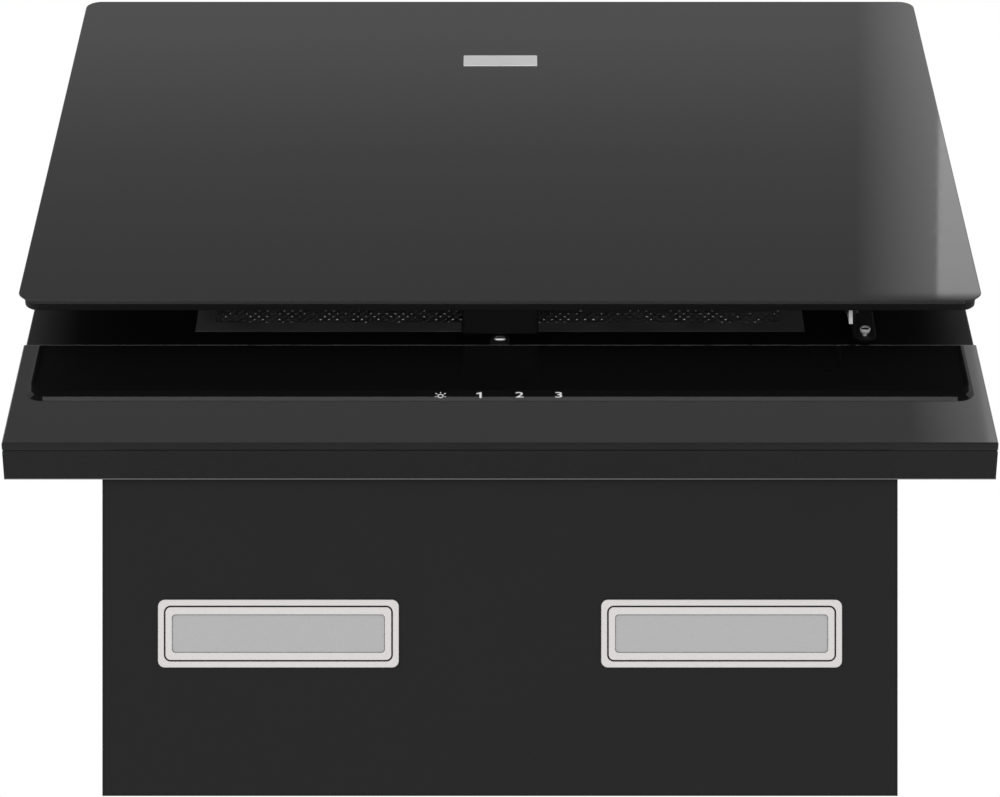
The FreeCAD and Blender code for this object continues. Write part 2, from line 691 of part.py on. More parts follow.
def impeller():
    """The double-inlet wheel: disc with hub, forward-curved blades in a ring, two end rings."""
    body = new_body("impeller", y="-blower_y", z="blower_z")
    half = "wheel_width / 2"
    root, tip = "(wheel_radius - blade_depth)", "(wheel_radius - ring_lip)"
    blade = new_sketch(body, "YZ", f"-({half} - wheel_ring / 2)")
    tip_y, tip_z = f"{tip} * cos(blade_sweep)", f"{tip} * sin(blade_sweep)"
    outline(blade, [
        (root, "-blade / 2", "blade_curve", 1),
        (tip_y, f"{tip_z} - blade / 2"),
        (tip_y, f"{tip_z} + blade / 2", "blade_curve", -1),
        (root, "blade / 2"),
    ])
    blades = pad(body, blade, "wheel_width - wheel_ring")
    ring = body.newObject("PartDesign::PolarPattern", "blade_ring")
    ring.Originals = [blades]
    ring.Axis = (origin_item(body, "X_Axis"), [""])
    ring.Angle = 360
    bind(ring, Occurrences="blade_count")
    body.Tip = ring
    doc.recompute()
    for start in (f"-({half})", f"{half} - wheel_ring"):
        disc(body, "YZ", start, "wheel_radius", "wheel_ring", bore="wheel_radius - ring_width")
    disc(body, "YZ", "-wheel_disc / 2", "wheel_radius - ring_lip", "wheel_disc")
    disc(body, "YZ", "-hub_length / 2", "hub_radius", "hub_length")
    cut_rounds(body, "YZ", "hub_length", [("0", "0", "shaft_radius")], "2 * hub_length")
    shaft = new_body("motor_shaft", y="-blower_y", z="blower_z")
    disc(shaft, "YZ", "-hub_length / 2", "shaft_radius", "shaft_length")


def motor():
    """The motor in the right-hand inlet, turned about its axis, with the bore that its shaft leaves by."""
    body = new_body("motor", y="-blower_y", z="blower_z")
    start = "(hub_length / 2 + motor_clear)"
    flange = "(spider_x + spider)"
    end = f"({flange} + spider + motor_bell)"
    bore_end = "(shaft_length - hub_length / 2 + motor_clear)"
    radius = "shaft_radius + running_fit"
    revolve(body, "XY", "X", [
        (start, radius),
        (start, "motor_radius - motor_bell"),
        (f"{start} + motor_bell / 2", "motor_radius"),
        (flange, "motor_radius"),
        (flange, "motor_radius + motor_flange"),
        (f"{flange} + spider", "motor_radius + motor_flange"),
        (f"{flange} + spider", "motor_radius - motor_bell / 2"),
        (end, "motor_radius - 1.5 * motor_bell"),
        (end, "0"),
        (bore_end, "0"),
        (bore_end, radius),
    ])


def motor_bracket():
    """The spider across the inlet: a ring under the motor's flange, and arms on posts."""
    body = new_body("motor_bracket", y="-blower_y", z="blower_z")
    bore = "motor_radius + slip"
    disc(body, "YZ", "spider_x", "motor_radius + motor_flange + plastic", "spider", bore=bore)
    arm = slab(body, "YZ", "spider_x", ("motor_radius + motor_flange", "spider_reach",
                                        "-spider_arm / 2", "spider_arm / 2"), "spider")
    post = disc(body, "YZ", "scroll_outer", "spider_post", "spider_x - scroll_outer + spider", "spider_reach")
    arms = body.newObject("PartDesign::PolarPattern", "spider_arms")
    arms.Originals = [arm, post]
    arms.Axis = (origin_item(body, "X_Axis"), [""])
    arms.Angle = 360
    bind(arms, Occurrences="spider_arms")
    body.Tip = arms
    doc.recompute()


def control_unit():
    """The electronics: a box on the left side panel, its board and cover, and the capacitor on it."""
    box = new_body("control_box")
    outside = ("-box_front", "-box_back", "box_floor", "box_floor + box_height")
    inside = ("-box_front + plastic", "-box_back - plastic",
              "box_floor + plastic", "box_floor + box_height - plastic")
    slab(box, "YZ", "-inside", outside, "box_depth")
    cut_slab(box, "YZ", "-inside + plastic", inside, "box_depth", back=True)
    board = new_body("control_board")
    fitted = ("-box_front + plastic + slip", "-box_back - plastic - slip",
              "box_floor + plastic + slip", "box_floor + box_height - plastic - slip")
    slab(board, "YZ", "-inside + plastic", fitted, "board")
    parts = new_sketch(board, "YZ", "-inside + plastic + board")
    middle_y = "-(box_front + box_back) / 2"
    middle_z = "box_floor + box_height / 2"
    rectangle(parts, f"{middle_y} - box_length / 4", f"{middle_y}", middle_z, f"{middle_z} + box_height / 3")
    rectangle(parts, f"{middle_y} + box_length / 8", f"{middle_y} + box_length / 3",
              f"{middle_z} - box_height / 4", f"{middle_z} - box_height / 8")
    pad(board, parts, "box_depth / 2")
    cover = new_body("control_cover")
    slab(cover, "YZ", "-inside + box_depth", outside, "box_cover")
    slab(cover, "YZ", "-inside + box_depth - plastic", fitted, "plastic")
    capacitor = new_body("capacitor", x="-inside + capacitor_radius", y="-box_front + capacitor_radius",
                         z="box_floor + box_height")
    disc(capacitor, "XY", "0", "capacitor_radius", "capacitor_height")
    round_edges(capacitor, "plastic", flat_at("z", "capacitor_height"), "Chamfer")


def lamp(name, side):
    """One lamp: trim ring in the underside, lamp body hung in it, diffuser, and LED board as lid."""
    place = {"x": f"{side}lamp_x", "y": "-lamp_y"}

    def plan(sketch, length, width, corner):
        half_x, half_y = f"({length}) / 2", f"({width}) / 2"
        rounded_rectangle(sketch, f"-{half_x}", half_x, f"-{half_y}", half_y, corner)

    inner = ("trim_length - 2 * trim_rim", "trim_width - 2 * trim_rim", "trim_corner")
    trim = new_body(f"{name}_lamp_trim", **place)
    ring = new_sketch(trim, "XY", "-trim_face")
    plan(ring, "trim_length", "trim_width", "trim_corner")
    plan(ring, *inner)
    pad(trim, ring, "trim_face")
    collar = new_sketch(trim, "XY", "-trim_face / 2")
    plan(collar, *(f"{size} + 2 * trim_collar" for size in inner[:2]), "trim_corner")
    plan(collar, *inner)
    pad(trim, collar, "trim_height + trim_face / 2")

    body = new_body(f"{name}_lamp_body", **place)
    shell = new_sketch(body, "XY", "-trim_face")
    plan(shell, "lamp_length", "lamp_width", "lamp_corner")
    pad(body, shell, "lamp_top + trim_face")
    flange = new_sketch(body, "XY", "trim_height")
    plan(flange, *(f"{size} + trim_collar" for size in inner[:2]), "trim_corner")
    pad(body, flange, "lamp_top - trim_height")
    cavity = ("lamp_length - 2 * lamp_wall", "lamp_width - 2 * lamp_wall", "lamp_corner")
    hollow = new_sketch(body, "XY", "lamp_top")
    plan(hollow, *cavity)
    pocket(body, hollow, "lamp_top + trim_face - lamp_floor")
    window = new_sketch(body, "XY", "lamp_top")
    plan(window, "window_length", "window_width", "window_corner")
    pocket(body, window, "lamp_top + 2 * trim_face")

    diffuser = new_body(f"{name}_lamp_diffuser", **place)
    flange = new_sketch(diffuser, "XY", "lamp_floor - trim_face")
    plan(flange, *(f"{size} - slip" for size in cavity[:2]), "lamp_corner")
    pad(diffuser, flange, "diffuser")
    plug = new_sketch(diffuser, "XY", "diffuser_step - trim_face")
    plan(plug, "window_length - slip", "window_width - slip", "window_corner")
    pad(diffuser, plug, "lamp_floor - diffuser_step")

    board = new_body(f"{name}_lamp_board", **place)
    lid = new_sketch(board, "XY", "lamp_top - board")
    plan(lid, *(f"{size} - slip" for size in cavity[:2]), "lamp_corner")
    pad(board, lid, "board")


def outlet():
    """The collar on the top panel with its flap stop, two half-round flaps on one pin, and four screws."""
    collar = new_body("outlet_collar", y="outlet_y", z="body_height")
    ledge_top = "collar_base + flap_level"
    outer_foot = "spigot_radius + collar_flange"
    revolve(collar, "XZ", "Z", [
        ("spigot_inside", "-sheet"),
        ("spigot_radius", "-sheet"),
        ("spigot_radius", "0"),
        (outer_foot, "0"),
        (outer_foot, "collar_base"),
        ("spigot_radius", "collar_base"),
        ("spigot_radius", "collar_base + spigot_height - collar_wall"),
        ("spigot_radius - collar_wall / 2", "collar_base + spigot_height"),
        ("spigot_inside", "collar_base + spigot_height"),
        ("spigot_inside", ledge_top),
        ("spigot_inside - flap_stop", ledge_top),
        ("spigot_inside", f"{ledge_top} - 2 * flap_stop"),
    ])
    holes = [(x, y, "collar_screw") for x, y in screw_places()]
    cut_rounds(collar, "XY", "collar_base + sheet", holes, "collar_base + 3 * sheet")
    axis_height = f"{ledge_top} + slip + flap_knuckle"
    cut_rounds(collar, "YZ", "2 * spigot_radius", [("0", axis_height, "flap_pin")], "4 * spigot_radius")

    pin = new_body("flap_pin_rod", y="outlet_y", z="flap_axis_z")
    disc(pin, "YZ", "-spigot_radius + slip", "flap_pin", "2 * (spigot_radius - slip)")

    for name, side in (("front_flap", "-"), ("rear_flap", "")):
        flap_piece(name, side)

    screws = new_body("collar_screws", y="outlet_y", z="body_height + collar_base")
    sketch = new_sketch(screws, "XY", "0")
    shanks = new_sketch(screws, "XY", "-collar_base - 3 * sheet")
    for x, y in screw_places():
        circle(sketch, x, y, "2 * collar_screw")
        circle(shanks, x, y, "collar_screw - running_fit")
    screws.AllowCompound = True
    pad(screws, sketch, "collar_screw")
    pad(screws, shanks, "collar_base + 3 * sheet")


def flap_piece(name, side):
    """A half-round flap: plate beside the pin, and two knuckles that take turns with the other flap's."""
    body = new_body(name, y="outlet_y", z="flap_axis_z")
    reach = "(spigot_inside - flap_gap)"
    start = "(flap_knuckle + slip)"
    half = f"sqrt({reach} ^ 2 - {start} ^ 2)"
    plate = new_sketch(body, "XY", "-flap_knuckle")
    if side == "":
        corners = [(f"-{half}", start), (half, start, reach, 1), ("0", reach, reach, 1)]
    else:
        corners = [(f"-{half}", f"-{start}", reach, 1), ("0", f"-{reach}", reach, 1), (half, f"-{start}")]
    outline(plate, corners)
    pad(body, plate, "flap")
    span = f"{reach} / flap_spans"
    spans = [("-3", "-1"), ("1", "3")] if side == "" else [("-1", "1"), ("3", "4")]
    for low, high in spans:
        start_x = f"{low} * {span} + slip"
        length = f"({high} - {low}) * {span} - 2 * slip"
        disc(body, "YZ", start_x, "flap_knuckle", length)
        web = (start_x, f"{start_x} + {length}", *(("0", start) if side == "" else (f"-{start}", "0")))
        slab(body, "XY", "-flap_knuckle", web, "flap")
    cut_rounds(body, "YZ", "spigot_radius", [("0", "0", "flap_pin + running_fit")], "2 * spigot_radius")


def cable_gland():
    """The bushing in the top panel that the supply cable goes in by."""
    body = new_body("cable_gland", x="-gland_x", y="-gland_y", z="body_height")
    rim = "gland_radius + gland_flange"
    revolve(body, "XZ", "Z", [
        ("gland_bore", "-3 * sheet"),
        ("gland_radius", "-3 * sheet"),
        ("gland_radius", "0"),
        (rim, "0"),
        (rim, "2 * sheet"),
        ("gland_radius", "2 * sheet"),
        ("gland_radius - sheet", "gland_height"),
        ("gland_bore", "gland_height"),
    ])


def ear_outline(sketch, foot_low, foot_high, foot_level, pivot_u, pivot_n, way):
    """An ear that rises from a foot and is round about its pivot; way is 1 when it rises outwards."""
    low, high = f"{pivot_u} - knuckle", f"{pivot_u} + knuckle"
    top = f"{pivot_n} + knuckle" if way > 0 else f"{pivot_n} - knuckle"
    if way > 0:
        outline(sketch, [(foot_low, foot_level), (foot_high, foot_level), (high, pivot_n, "knuckle", 1),
                         (pivot_u, top, "knuckle", 1), (low, pivot_n)])
    else:
        outline(sketch, [(foot_low, foot_level), (low, pivot_n, "knuckle", 1), (pivot_u, top, "knuckle", 1),
                         (high, pivot_n), (foot_high, foot_level)])


def hinge(name, side):
    """One panel hinge: bracket on the tray, bracket on the panel, and the pin through their ears."""
    place = {"x": f"{side}hinge_x", "u": "hinge_level"}
    inner = "hinge_width / 2"
    outer = f"({inner} + slip + bracket)"
    low, high = "-hinge_foot / 2 + bracket", "hinge_foot / 2 - 2 * bracket"
    across = ("2 * hinge_width", "4 * hinge_width")
    fixed = slope_body(f"{name}_tray_hinge", **place)
    slab(fixed, "XY", "0", (f"-{outer}", outer, "-hinge_foot / 2", "hinge_foot / 2 - bracket"), "bracket")
    for start in (f"-{outer}", f"{outer} - bracket"):
        ear = new_sketch(fixed, "YZ", start)
        ear_outline(ear, low, high, "0", "0", "hinge_stand", 1)
        pad(fixed, ear, "bracket")
    cut_rounds(fixed, "YZ", across[0], [("0", "hinge_stand", "hinge_pin")], across[1])

    moving = slope_body(f"{name}_panel_hinge", **place)
    limits = (f"-{inner}", inner, "-hinge_foot / 2", "knuckle + bracket")
    slab(moving, "XY", "panel_gap - bracket", limits, "bracket")
    for start in (f"-{inner}", f"{inner} - bracket"):
        ear = new_sketch(moving, "YZ", start)
        ear_outline(ear, low, "knuckle + bracket", "panel_gap", "0", "hinge_stand", -1)
        pad(moving, ear, "bracket")
    cut_rounds(moving, "YZ", across[0], [("0", "hinge_stand", "hinge_pin + running_fit")], across[1])

    pin = slope_body(f"{name}_hinge_pin", n="hinge_stand", **place)
    disc(pin, "YZ", f"-{outer}", "hinge_pin", f"2 * {outer}")
    disc(pin, "YZ", f"-{outer} - bracket", "pin_head", "bracket")


def panel():
    """The front panel: glass with round corners and edges, bonded to a steel back plate."""
    half = "panel_width / 2"
    top = "panel_bottom + panel_length"
    glass = slope_body("panel_glass")
    sketch = new_sketch(glass, "XY", "panel_back")
    rounded_rectangle(sketch, f"-{half}", half, "panel_bottom", top, "panel_corner")
    pad(glass, sketch, "panel_glass")
    round_edges(glass, "panel_edge", flat_at("z", "panel_front"))
    plate = slope_body("panel_back_plate")
    sketch = new_sketch(plate, "XY", "panel_gap")
    edge = f"{half} - plate_inset"
    rounded_rectangle(sketch, f"-({edge})", edge, "panel_bottom + plate_inset", f"{top} - plate_inset",
                      "(panel_corner - plate_inset)")
    pad(plate, sketch, "sheet")


def catch():
    """The magnet catch: magnet on the tray, moulded block on the panel, and the striker set in the block."""
    magnet = slope_body("catch_magnet", u="magnet_level")
    disc(magnet, "XY", "0", "magnet_radius", "magnet_height")
    round_edges(magnet, "magnet_dome", flat_at("z", "magnet_height"))
    face = "magnet_height + 2 * slip"
    block = slope_body("catch_block")
    sketch = new_sketch(block, "XY", face)
    limits = ("-catch_width / 2", "catch_width / 2", "catch_bottom", "catch_bottom + catch_length")
    rounded_rectangle(sketch, *limits, "catch_corner")
    pad(block, sketch, f"panel_gap - ({face})")
    round_edges(block, "catch_edge", flat_at("z", face), "Chamfer")
    recess = new_sketch(block, "XY", face)
    circle(recess, "0", "striker_level", "striker_radius")
    pocket(block, recess, "striker - slip", back=True)
    striker = slope_body("catch_striker", u="striker_level")
    disc(striker, "XY", "magnet_height + slip", "striker_radius", "striker")


def link_outline(sketch):
    """A flat link with a lower end cut level and a round upper end."""
    half = "link_width / 2"
    lean = "link_width / 2 / tan(slope)"
    outline(sketch, [
        (f"-link_tail - {lean}", f"-{half}"),
        ("stay_length", f"-{half}", half, 1),
        (f"stay_length + {half}", "0", half, 1),
        ("stay_length", half),
        (f"-link_tail + {lean}", half),
    ])


def stay():
    """The folding stay: bracket and screw on the tray, two links, lug on the panel, and their rivets."""
    bracket = slope_body("stay_bracket")
    foot = new_sketch(bracket, "XY", "0")
    round_end = "foot_width / 2"
    right = "stay_x + foot_width"
    top = "screw_level + foot_length"
    outline(foot, [
        ("stay_x", "screw_level", round_end, 1),
        ("foot_middle", f"screw_level - {round_end}", round_end, 1),
        (right, "screw_level"), (right, top), ("stay_x", top),
    ])
    pad(bracket, foot, "bracket")
    ear = new_sketch(bracket, "YZ", "stay_x")
    ear_outline(ear, "stay_level - knuckle", top, "0", "stay_level", "stay_stand", 1)
    pad(bracket, ear, "bracket")
    pivot = ("stay_level", "stay_stand", "stay_pin")
    cut_rounds(bracket, "YZ", "stay_x + 2 * bracket", [pivot], "4 * bracket")
    hole = ("foot_middle", "screw_level", "screw_shank + running_fit")
    cut_rounds(bracket, "XY", "2 * bracket", [hole], "3 * bracket")

    screw = slope_body("stay_screw", x="foot_middle", u="screw_level", n="bracket")
    disc(screw, "XY", "0", "screw_head", "screw_cap")
    round_edges(screw, "screw_round", flat_at("z", "screw_cap"), "Chamfer")
    disc(screw, "XY", "-bracket - sheet", "screw_shank", "bracket + sheet")

    lower = slope_body("stay_lower_link", u="stay_level", n="stay_stand", tilt="stay_angle")
    sketch = new_sketch(lower, "YZ", "lower_link_x")
    link_outline(sketch)
    pad(lower, sketch, "link")
    holes = [("0", "0", "stay_pin + running_fit"), ("stay_length", "0", "stay_pin")]
    cut_rounds(lower, "YZ", "stay_x", holes, "2 * link")

    upper = slope_body("stay_upper_link", u="stay_level", n="upper_stand", tilt="-stay_angle")
    sketch = new_sketch(upper, "YZ", "upper_link_x")
    link_outline(sketch)
    pad(upper, sketch, "link")
    holes = [("0", "0", "stay_pin + running_fit"), ("stay_length", "0", "stay_pin + slip")]
    cut_rounds(upper, "YZ", "lower_link_x", holes, "2 * link")

    lug = slope_body("panel_stay_lug")
    low, high = "stay_level - knuckle", "stay_level + foot_length"
    slab(lug, "XY", "panel_gap - bracket", ("lug_x - foot_width", "lug_x + bracket", low, high), "bracket")
    ear = new_sketch(lug, "YZ", "lug_x")
    ear_outline(ear, low, high, "panel_gap", "stay_level", "upper_stand", -1)
    pad(lug, ear, "bracket")
    cut_rounds(lug, "YZ", "lug_x + 2 * bracket", [("stay_level", "upper_stand", "stay_pin")], "4 * bracket")

    rivet("stay_bracket_rivet", "stay_level", "stay_stand", "0", "lower_link_x", "stay_x + bracket", True)
    rivet("panel_lug_rivet", "stay_level", "upper_stand", "0", "lug_x", "upper_link_x + link", False)
    elbow_u = "stay_level + stay_length * cos(stay_angle)"
    rivet("stay_elbow_rivet", elbow_u, "hinge_stand", "stay_angle", "lower_link_x", "stay_x - slip", True)


def rivet(name, u, n, tilt, left, right, head_right):
    """A rivet along X between two faces, with one head."""
    body = slope_body(name, u=u, n=n, tilt=tilt)
    disc(body, "YZ", left, "stay_pin", f"{right} - ({left})")
    head = right if head_right else f"{left} - rivet_cap"
    disc(body, "YZ", head, "rivet_head", "rivet_cap")


def grease_filter():
    """The filter: rail frame with tongues and a latch pocket, mesh pack, and the sliding latch."""
    frame = slope_body("filter_frame")
    half = "filter_width / 2"
    slab(frame, "XY", "-filter_depth", (f"-{half}", half, "filter_bottom", "filter_top"), "filter_depth")
    inner = f"{half} - filter_border"
    pocket_half = "latch_width / 2 + slip"
    block_half = f"{pocket_half} + latch_rim"
    block_low = "latch_top - pocket_length - latch_rim"
    window = new_sketch(frame, "XY", "0")
    opening = [
        (f"-({inner})", "filter_bottom + filter_border"), (inner, "filter_bottom + filter_border"),
        (inner, "latch_top"), (block_half, "latch_top"), (block_half, block_low),
        (f"-({block_half})", block_low), (f"-({block_half})", "latch_top"), (f"-({inner})", "latch_top"),
    ]
    outline(window, opening)
    pocket(frame, window, "filter_depth")
    limits = (f"-({pocket_half})", pocket_half, "latch_top - pocket_length", "latch_top")
    cut_slab(frame, "XY", "0", limits, "latch_floor + slip")
    slot = "bolt_width / 2 + slip"
    limits = (f"-({slot})", slot, "-(bolt_level + slip)", "-(bolt_level - bolt - slip)")
    cut_slab(frame, "XZ", "-latch_top", limits, "2 * filter_border")
    for side in ("", "-"):
        limits = (f"{side}tongue_x - tongue_width / 2", f"{side}tongue_x + tongue_width / 2",
                  "-(tongue_level + tongue)", "-tongue_level")
        slab(frame, "XZ", "-filter_bottom", limits, "tongue_reach")

    pack = slope_body("filter_mesh")
    sketch = new_sketch(pack, "XY", "-mesh_recess - mesh")
    outline(sketch, opening)
    pad(pack, sketch, "mesh")

    latch = slope_body("filter_latch")
    slider_low, slider_high = "latch_top - slip - latch_length", "latch_top - slip"
    limits = ("-latch_width / 2", "latch_width / 2", slider_low, slider_high)
    slab(latch, "XY", "-latch_floor", limits, "latch_floor - slip")
    finger = "latch_width / 2 - latch_rim"
    limits = (f"-({finger})", finger, f"{slider_low} + latch_rim", f"{slider_high} - latch_rim")
    cut_slab(latch, "XY", "0", limits, "latch_floor / 2")
    limits = ("-bolt_width / 2", "bolt_width / 2", "-bolt_level", "-(bolt_level - bolt)")
    slab(latch, "XZ", f"-({slider_high}) + slip", limits, "filter_border + bolt_reach + 2 * slip", back=True)


def build():
    """Make every sub-part."""
    front_tray()
    filter_seat()
    lower_glass()
    touch_unit()
    bottom_panel()
    top_panel()
    side_panel("left_side_panel", "-")
    side_panel("right_side_panel", "")
    back_panel()
    scroll_half("left_scroll_half", "-")
    scroll_half("right_scroll_half", "")
    impeller()
    motor()
    motor_bracket()
    control_unit()
    lamp("left", "-")
    lamp("right", "")
    outlet()
    cable_gland()
    hinge("left", "-")
    hinge("right", "")
    panel()
    catch()
    stay()
    grease_filter()


def check_and_write():
    """Refuse failed features and bad shapes, then write each sub-part under its label."""
    doc.recompute()
    failed = [item.Label for item in doc.Objects if "Invalid" in item.State or "Error" in item.State]
    failed += [body.Label for body in SUB_PARTS if body.Shape.isNull() or not body.Shape.isValid()]
    if failed:
        raise ValueError(f"failed: {failed}")
    os.makedirs("parts", exist_ok=True)
    for body in SUB_PARTS:
        body.Shape.exportStep(f"parts/{body.Label}.step")
        print(body.Label, len(body.Shape.Solids), round(body.Shape.Volume), body.Shape.BoundBox)


build()
check_and_write()
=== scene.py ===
"""Looks of an angled wall hood: finishes, filter mesh, touch symbols, bare plate, light and camera.

World frame in metres: X right seen from the front, Y towards the wall at Y = 0, Z up from the underside.
Slope frame in millimetres: x along X, u up the sloped front, n outwards from the tray's face.
"""

import json
import math

import bmesh
import bpy
from mathutils import Matrix, Vector


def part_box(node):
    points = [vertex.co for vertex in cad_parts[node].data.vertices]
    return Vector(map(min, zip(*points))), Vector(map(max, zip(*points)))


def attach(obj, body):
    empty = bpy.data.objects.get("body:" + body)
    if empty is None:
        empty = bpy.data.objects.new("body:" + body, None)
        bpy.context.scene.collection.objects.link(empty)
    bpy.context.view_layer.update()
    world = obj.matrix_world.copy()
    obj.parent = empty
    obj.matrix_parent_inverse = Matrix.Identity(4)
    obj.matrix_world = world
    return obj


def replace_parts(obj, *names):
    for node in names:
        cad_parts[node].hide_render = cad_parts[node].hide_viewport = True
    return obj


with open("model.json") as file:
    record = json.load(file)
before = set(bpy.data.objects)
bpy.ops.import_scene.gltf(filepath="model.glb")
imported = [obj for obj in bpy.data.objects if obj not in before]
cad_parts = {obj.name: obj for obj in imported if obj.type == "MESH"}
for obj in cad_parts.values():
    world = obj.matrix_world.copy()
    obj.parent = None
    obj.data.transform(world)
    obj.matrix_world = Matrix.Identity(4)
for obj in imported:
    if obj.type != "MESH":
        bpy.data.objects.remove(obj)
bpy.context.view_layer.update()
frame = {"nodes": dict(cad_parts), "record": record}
nodes = frame["nodes"]
MM = 0.001

# Slope frame: its origin on the tray's lower front edge, and its directions
SLOPE = math.radians(60)
TRAY_ORIGIN = Vector((0, -173.883, -11.4)) * MM
UP_SLOPE = Vector((0, -math.cos(SLOPE), math.sin(SLOPE)))
OUT_SLOPE = Vector((0, -math.sin(SLOPE), -math.cos(SLOPE)))

# Front panel: its outline, and how far out lie its face, the glass's back, and the pan's floor and rim
PANEL_LOW = 93.7
PANEL_WIDTH = 499.6
PANEL_LENGTH = 378.95
PANEL_CORNER = 9.0
CORNER_STEPS = 10
PANEL_FACE = 34.7
GLASS_BACK = 32.1
PANEL_BACK = 30.5
RIM_BACK = 28.0

# The front glass's edge: its round arris, how steeply its ends draw in, and the bevels at its sides
FRONT_ROUND = 0.3
GLASS_SHOULDER = PANEL_FACE - FRONT_ROUND
EDGE_TILTS = (math.tan(math.radians(8)), math.tan(math.radians(20)))
SIDE_BEVEL = 2.7

# Skins on that edge: how far they stand proud, how deep they bed, and where down the edge they start
TRIM_SKIN = 0.03
TRIM_BED = 0.03
TRIM_START = 0.05
# Steps of a lower corner's arc that the side skin is led round
TRIM_TURN = 5

# Lower glass: its face, and the touch symbols printed on it
LOWER_GLASS_FACE = 4.4
PRINT_LOW = LOWER_GLASS_FACE + 0.01
PRINT_THICK = 0.04
KEY_LEVEL = 47.8
KEY_PLACES = {"lamp": -30.35, "1": -10.3, "2": 10, "3": 30}
DIGIT_SIZE = 7.9
DIGIT_WEIGHT = 0.07
DIGIT_STRETCH = 1.19

# Lamps in the underside: their distance from the middle, and from the wall
LAMP_X = 111.4
LAMP_Y = -81.7


def on_slope(x, u, n):
    """A point of the slope frame, in the world frame."""
    return Vector((x * MM, 0, 0)) + TRAY_ORIGIN + UP_SLOPE * (u * MM) + OUT_SLOPE * (n * MM)


def slope_matrix(x, u, n):
    """Placement of a flat piece on the slope: its x, y and z along X, up the slope and outwards."""
    turn = Matrix((Vector((1, 0, 0)), UP_SLOPE, OUT_SLOPE)).transposed().to_4x4()
    return Matrix.Translation(on_slope(x, u, n)) @ turn


# Materials


class Graph:
    """A node tree with short calls for adding and joining nodes."""

    def __init__(self, tree):
        self.tree = tree

    def add(self, kind, inputs=None, **settings):
        """A node with settings and input values; an input that is a socket is joined."""
        node = self.tree.nodes.new(kind)
        for name, value in settings.items():
            setattr(node, name, value)
        for name, value in (inputs or {}).items():
            self.join(node.inputs[name], value)
        return node

    def join(self, socket, value):
        """Set an input's value, or link an output to it."""
        if isinstance(value, bpy.types.NodeSocket):
            self.tree.links.new(value, socket)
        else:
            socket.default_value = value

    def colours(self, factor, stops):
        """A colour ramp; a stop is a place and a colour."""
        ramp = self.add("ShaderNodeValToRGB", {"Fac": factor})
        elements = ramp.color_ramp.elements
        while len(elements) < len(stops):
            elements.new(0.5)
        for element, (place, colour) in zip(elements, stops):
            element.position = place
            element.color = (*colour, 1)
        return ramp.outputs["Color"]


class Surface(Graph):
    """A material of the hood, with its edges softened by a radius in metres."""

    def __init__(self, name, edge=0.0006):
        self.material = bpy.data.materials.new(name)
        self.material.use_nodes = True
        super().__init__(self.material.node_tree)
        self.shader = self.tree.nodes["Principled BSDF"]
        self.place = self.add("ShaderNodeTexCoord").outputs["Object"]
        self.rounded = self.add("ShaderNodeBevel", {"Radius": edge}, samples=4).outputs["Normal"]
        self.set(Normal=self.rounded)

    def set(self, **values):
        """Set the shader's inputs; words are joined with underscores."""
        for name, value in values.items():
            self.join(self.shader.inputs[name.replace("_", " ")], value)

    def stretched(self, scale):
        """The object's coordinates, stretched along its axes."""
        return self.add("ShaderNodeMapping", {"Vector": self.place, "Scale": scale}).outputs["Vector"]

    def noise(self, scale, detail=4, where=None, rough=0.55):
        """Noise between 0 and 1, with its scale in features per metre."""
        inputs = {"Vector": where or self.place, "Scale": scale, "Detail": detail, "Roughness": rough}
        return self.add("ShaderNodeTexNoise", inputs).outputs["Fac"]

    def between(self, factor, low, high, start=0.3, end=0.7):
        """A number that runs from low to high as the factor goes from start to end."""
        inputs = {"Value": factor, "From Min": start, "From Max": end, "To Min": low, "To Max": high}
        return self.add("ShaderNodeMapRange", inputs).outputs["Result"]

    def bump(self, height, distance, strength=1.0):
        """Surface relief, with its depth in metres."""
        inputs = {"Height": height, "Distance": distance, "Strength": strength, "Normal": self.rounded}
        self.set(Normal=self.add("ShaderNodeBump", inputs).outputs["Normal"])


def grey(value, tint=(1, 1, 1)):
    """A linear colour near grey."""
    return tuple(value * part for part in tint)


def powder_paint(name, dark, light, grain=1500, roughness=(0.42, 0.6), gloss=0.5):
    """Matt powder paint: fine orange peel, slight clouds in tone and gloss."""
    graph = Surface(name)
    peel = graph.noise(grain, 3)
    clouds = graph.noise(24, 5)
    graph.set(Base_Color=graph.colours(peel, [(0.3, grey(dark)), (0.7, grey(light, (1, 1, 1.02)))]))
    graph.set(Roughness=graph.between(clouds, *roughness), Specular_IOR_Level=gloss)
    graph.bump(peel, 0.00009, 0.7)
    return graph.material


def black_glass(name, dark, light, ior=1.5):
    """Back-painted black glass: hard gloss with the faintest wiping marks."""
    graph = Surface(name)
    wiped = graph.noise(16, 6, graph.stretched((1, 4, 4)))
    graph.set(Base_Color=graph.colours(graph.noise(900, 2), [(0.3, grey(dark)), (0.7, grey(light))]))
    graph.set(Roughness=graph.between(wiped, 0.012, 0.035), IOR=ior)
    return graph.material


def metal(name, dark, light, roughness, stretch, grain=700, relief=0.00001, edge=0.0002, metallic=1.0):
    """Metal with its grain drawn out along one direction."""
    graph = Surface(name, edge)
    drawn = graph.noise(grain, 5, graph.stretched(stretch))
    stains = graph.noise(60, 4)
    graph.set(Metallic=metallic)
    graph.set(Base_Color=graph.colours(drawn, [(0.3, grey(dark)), (0.7, grey(light))]))
    graph.set(Roughness=graph.between(stains, *roughness))
    graph.bump(drawn, relief, 0.6)
    return graph.material


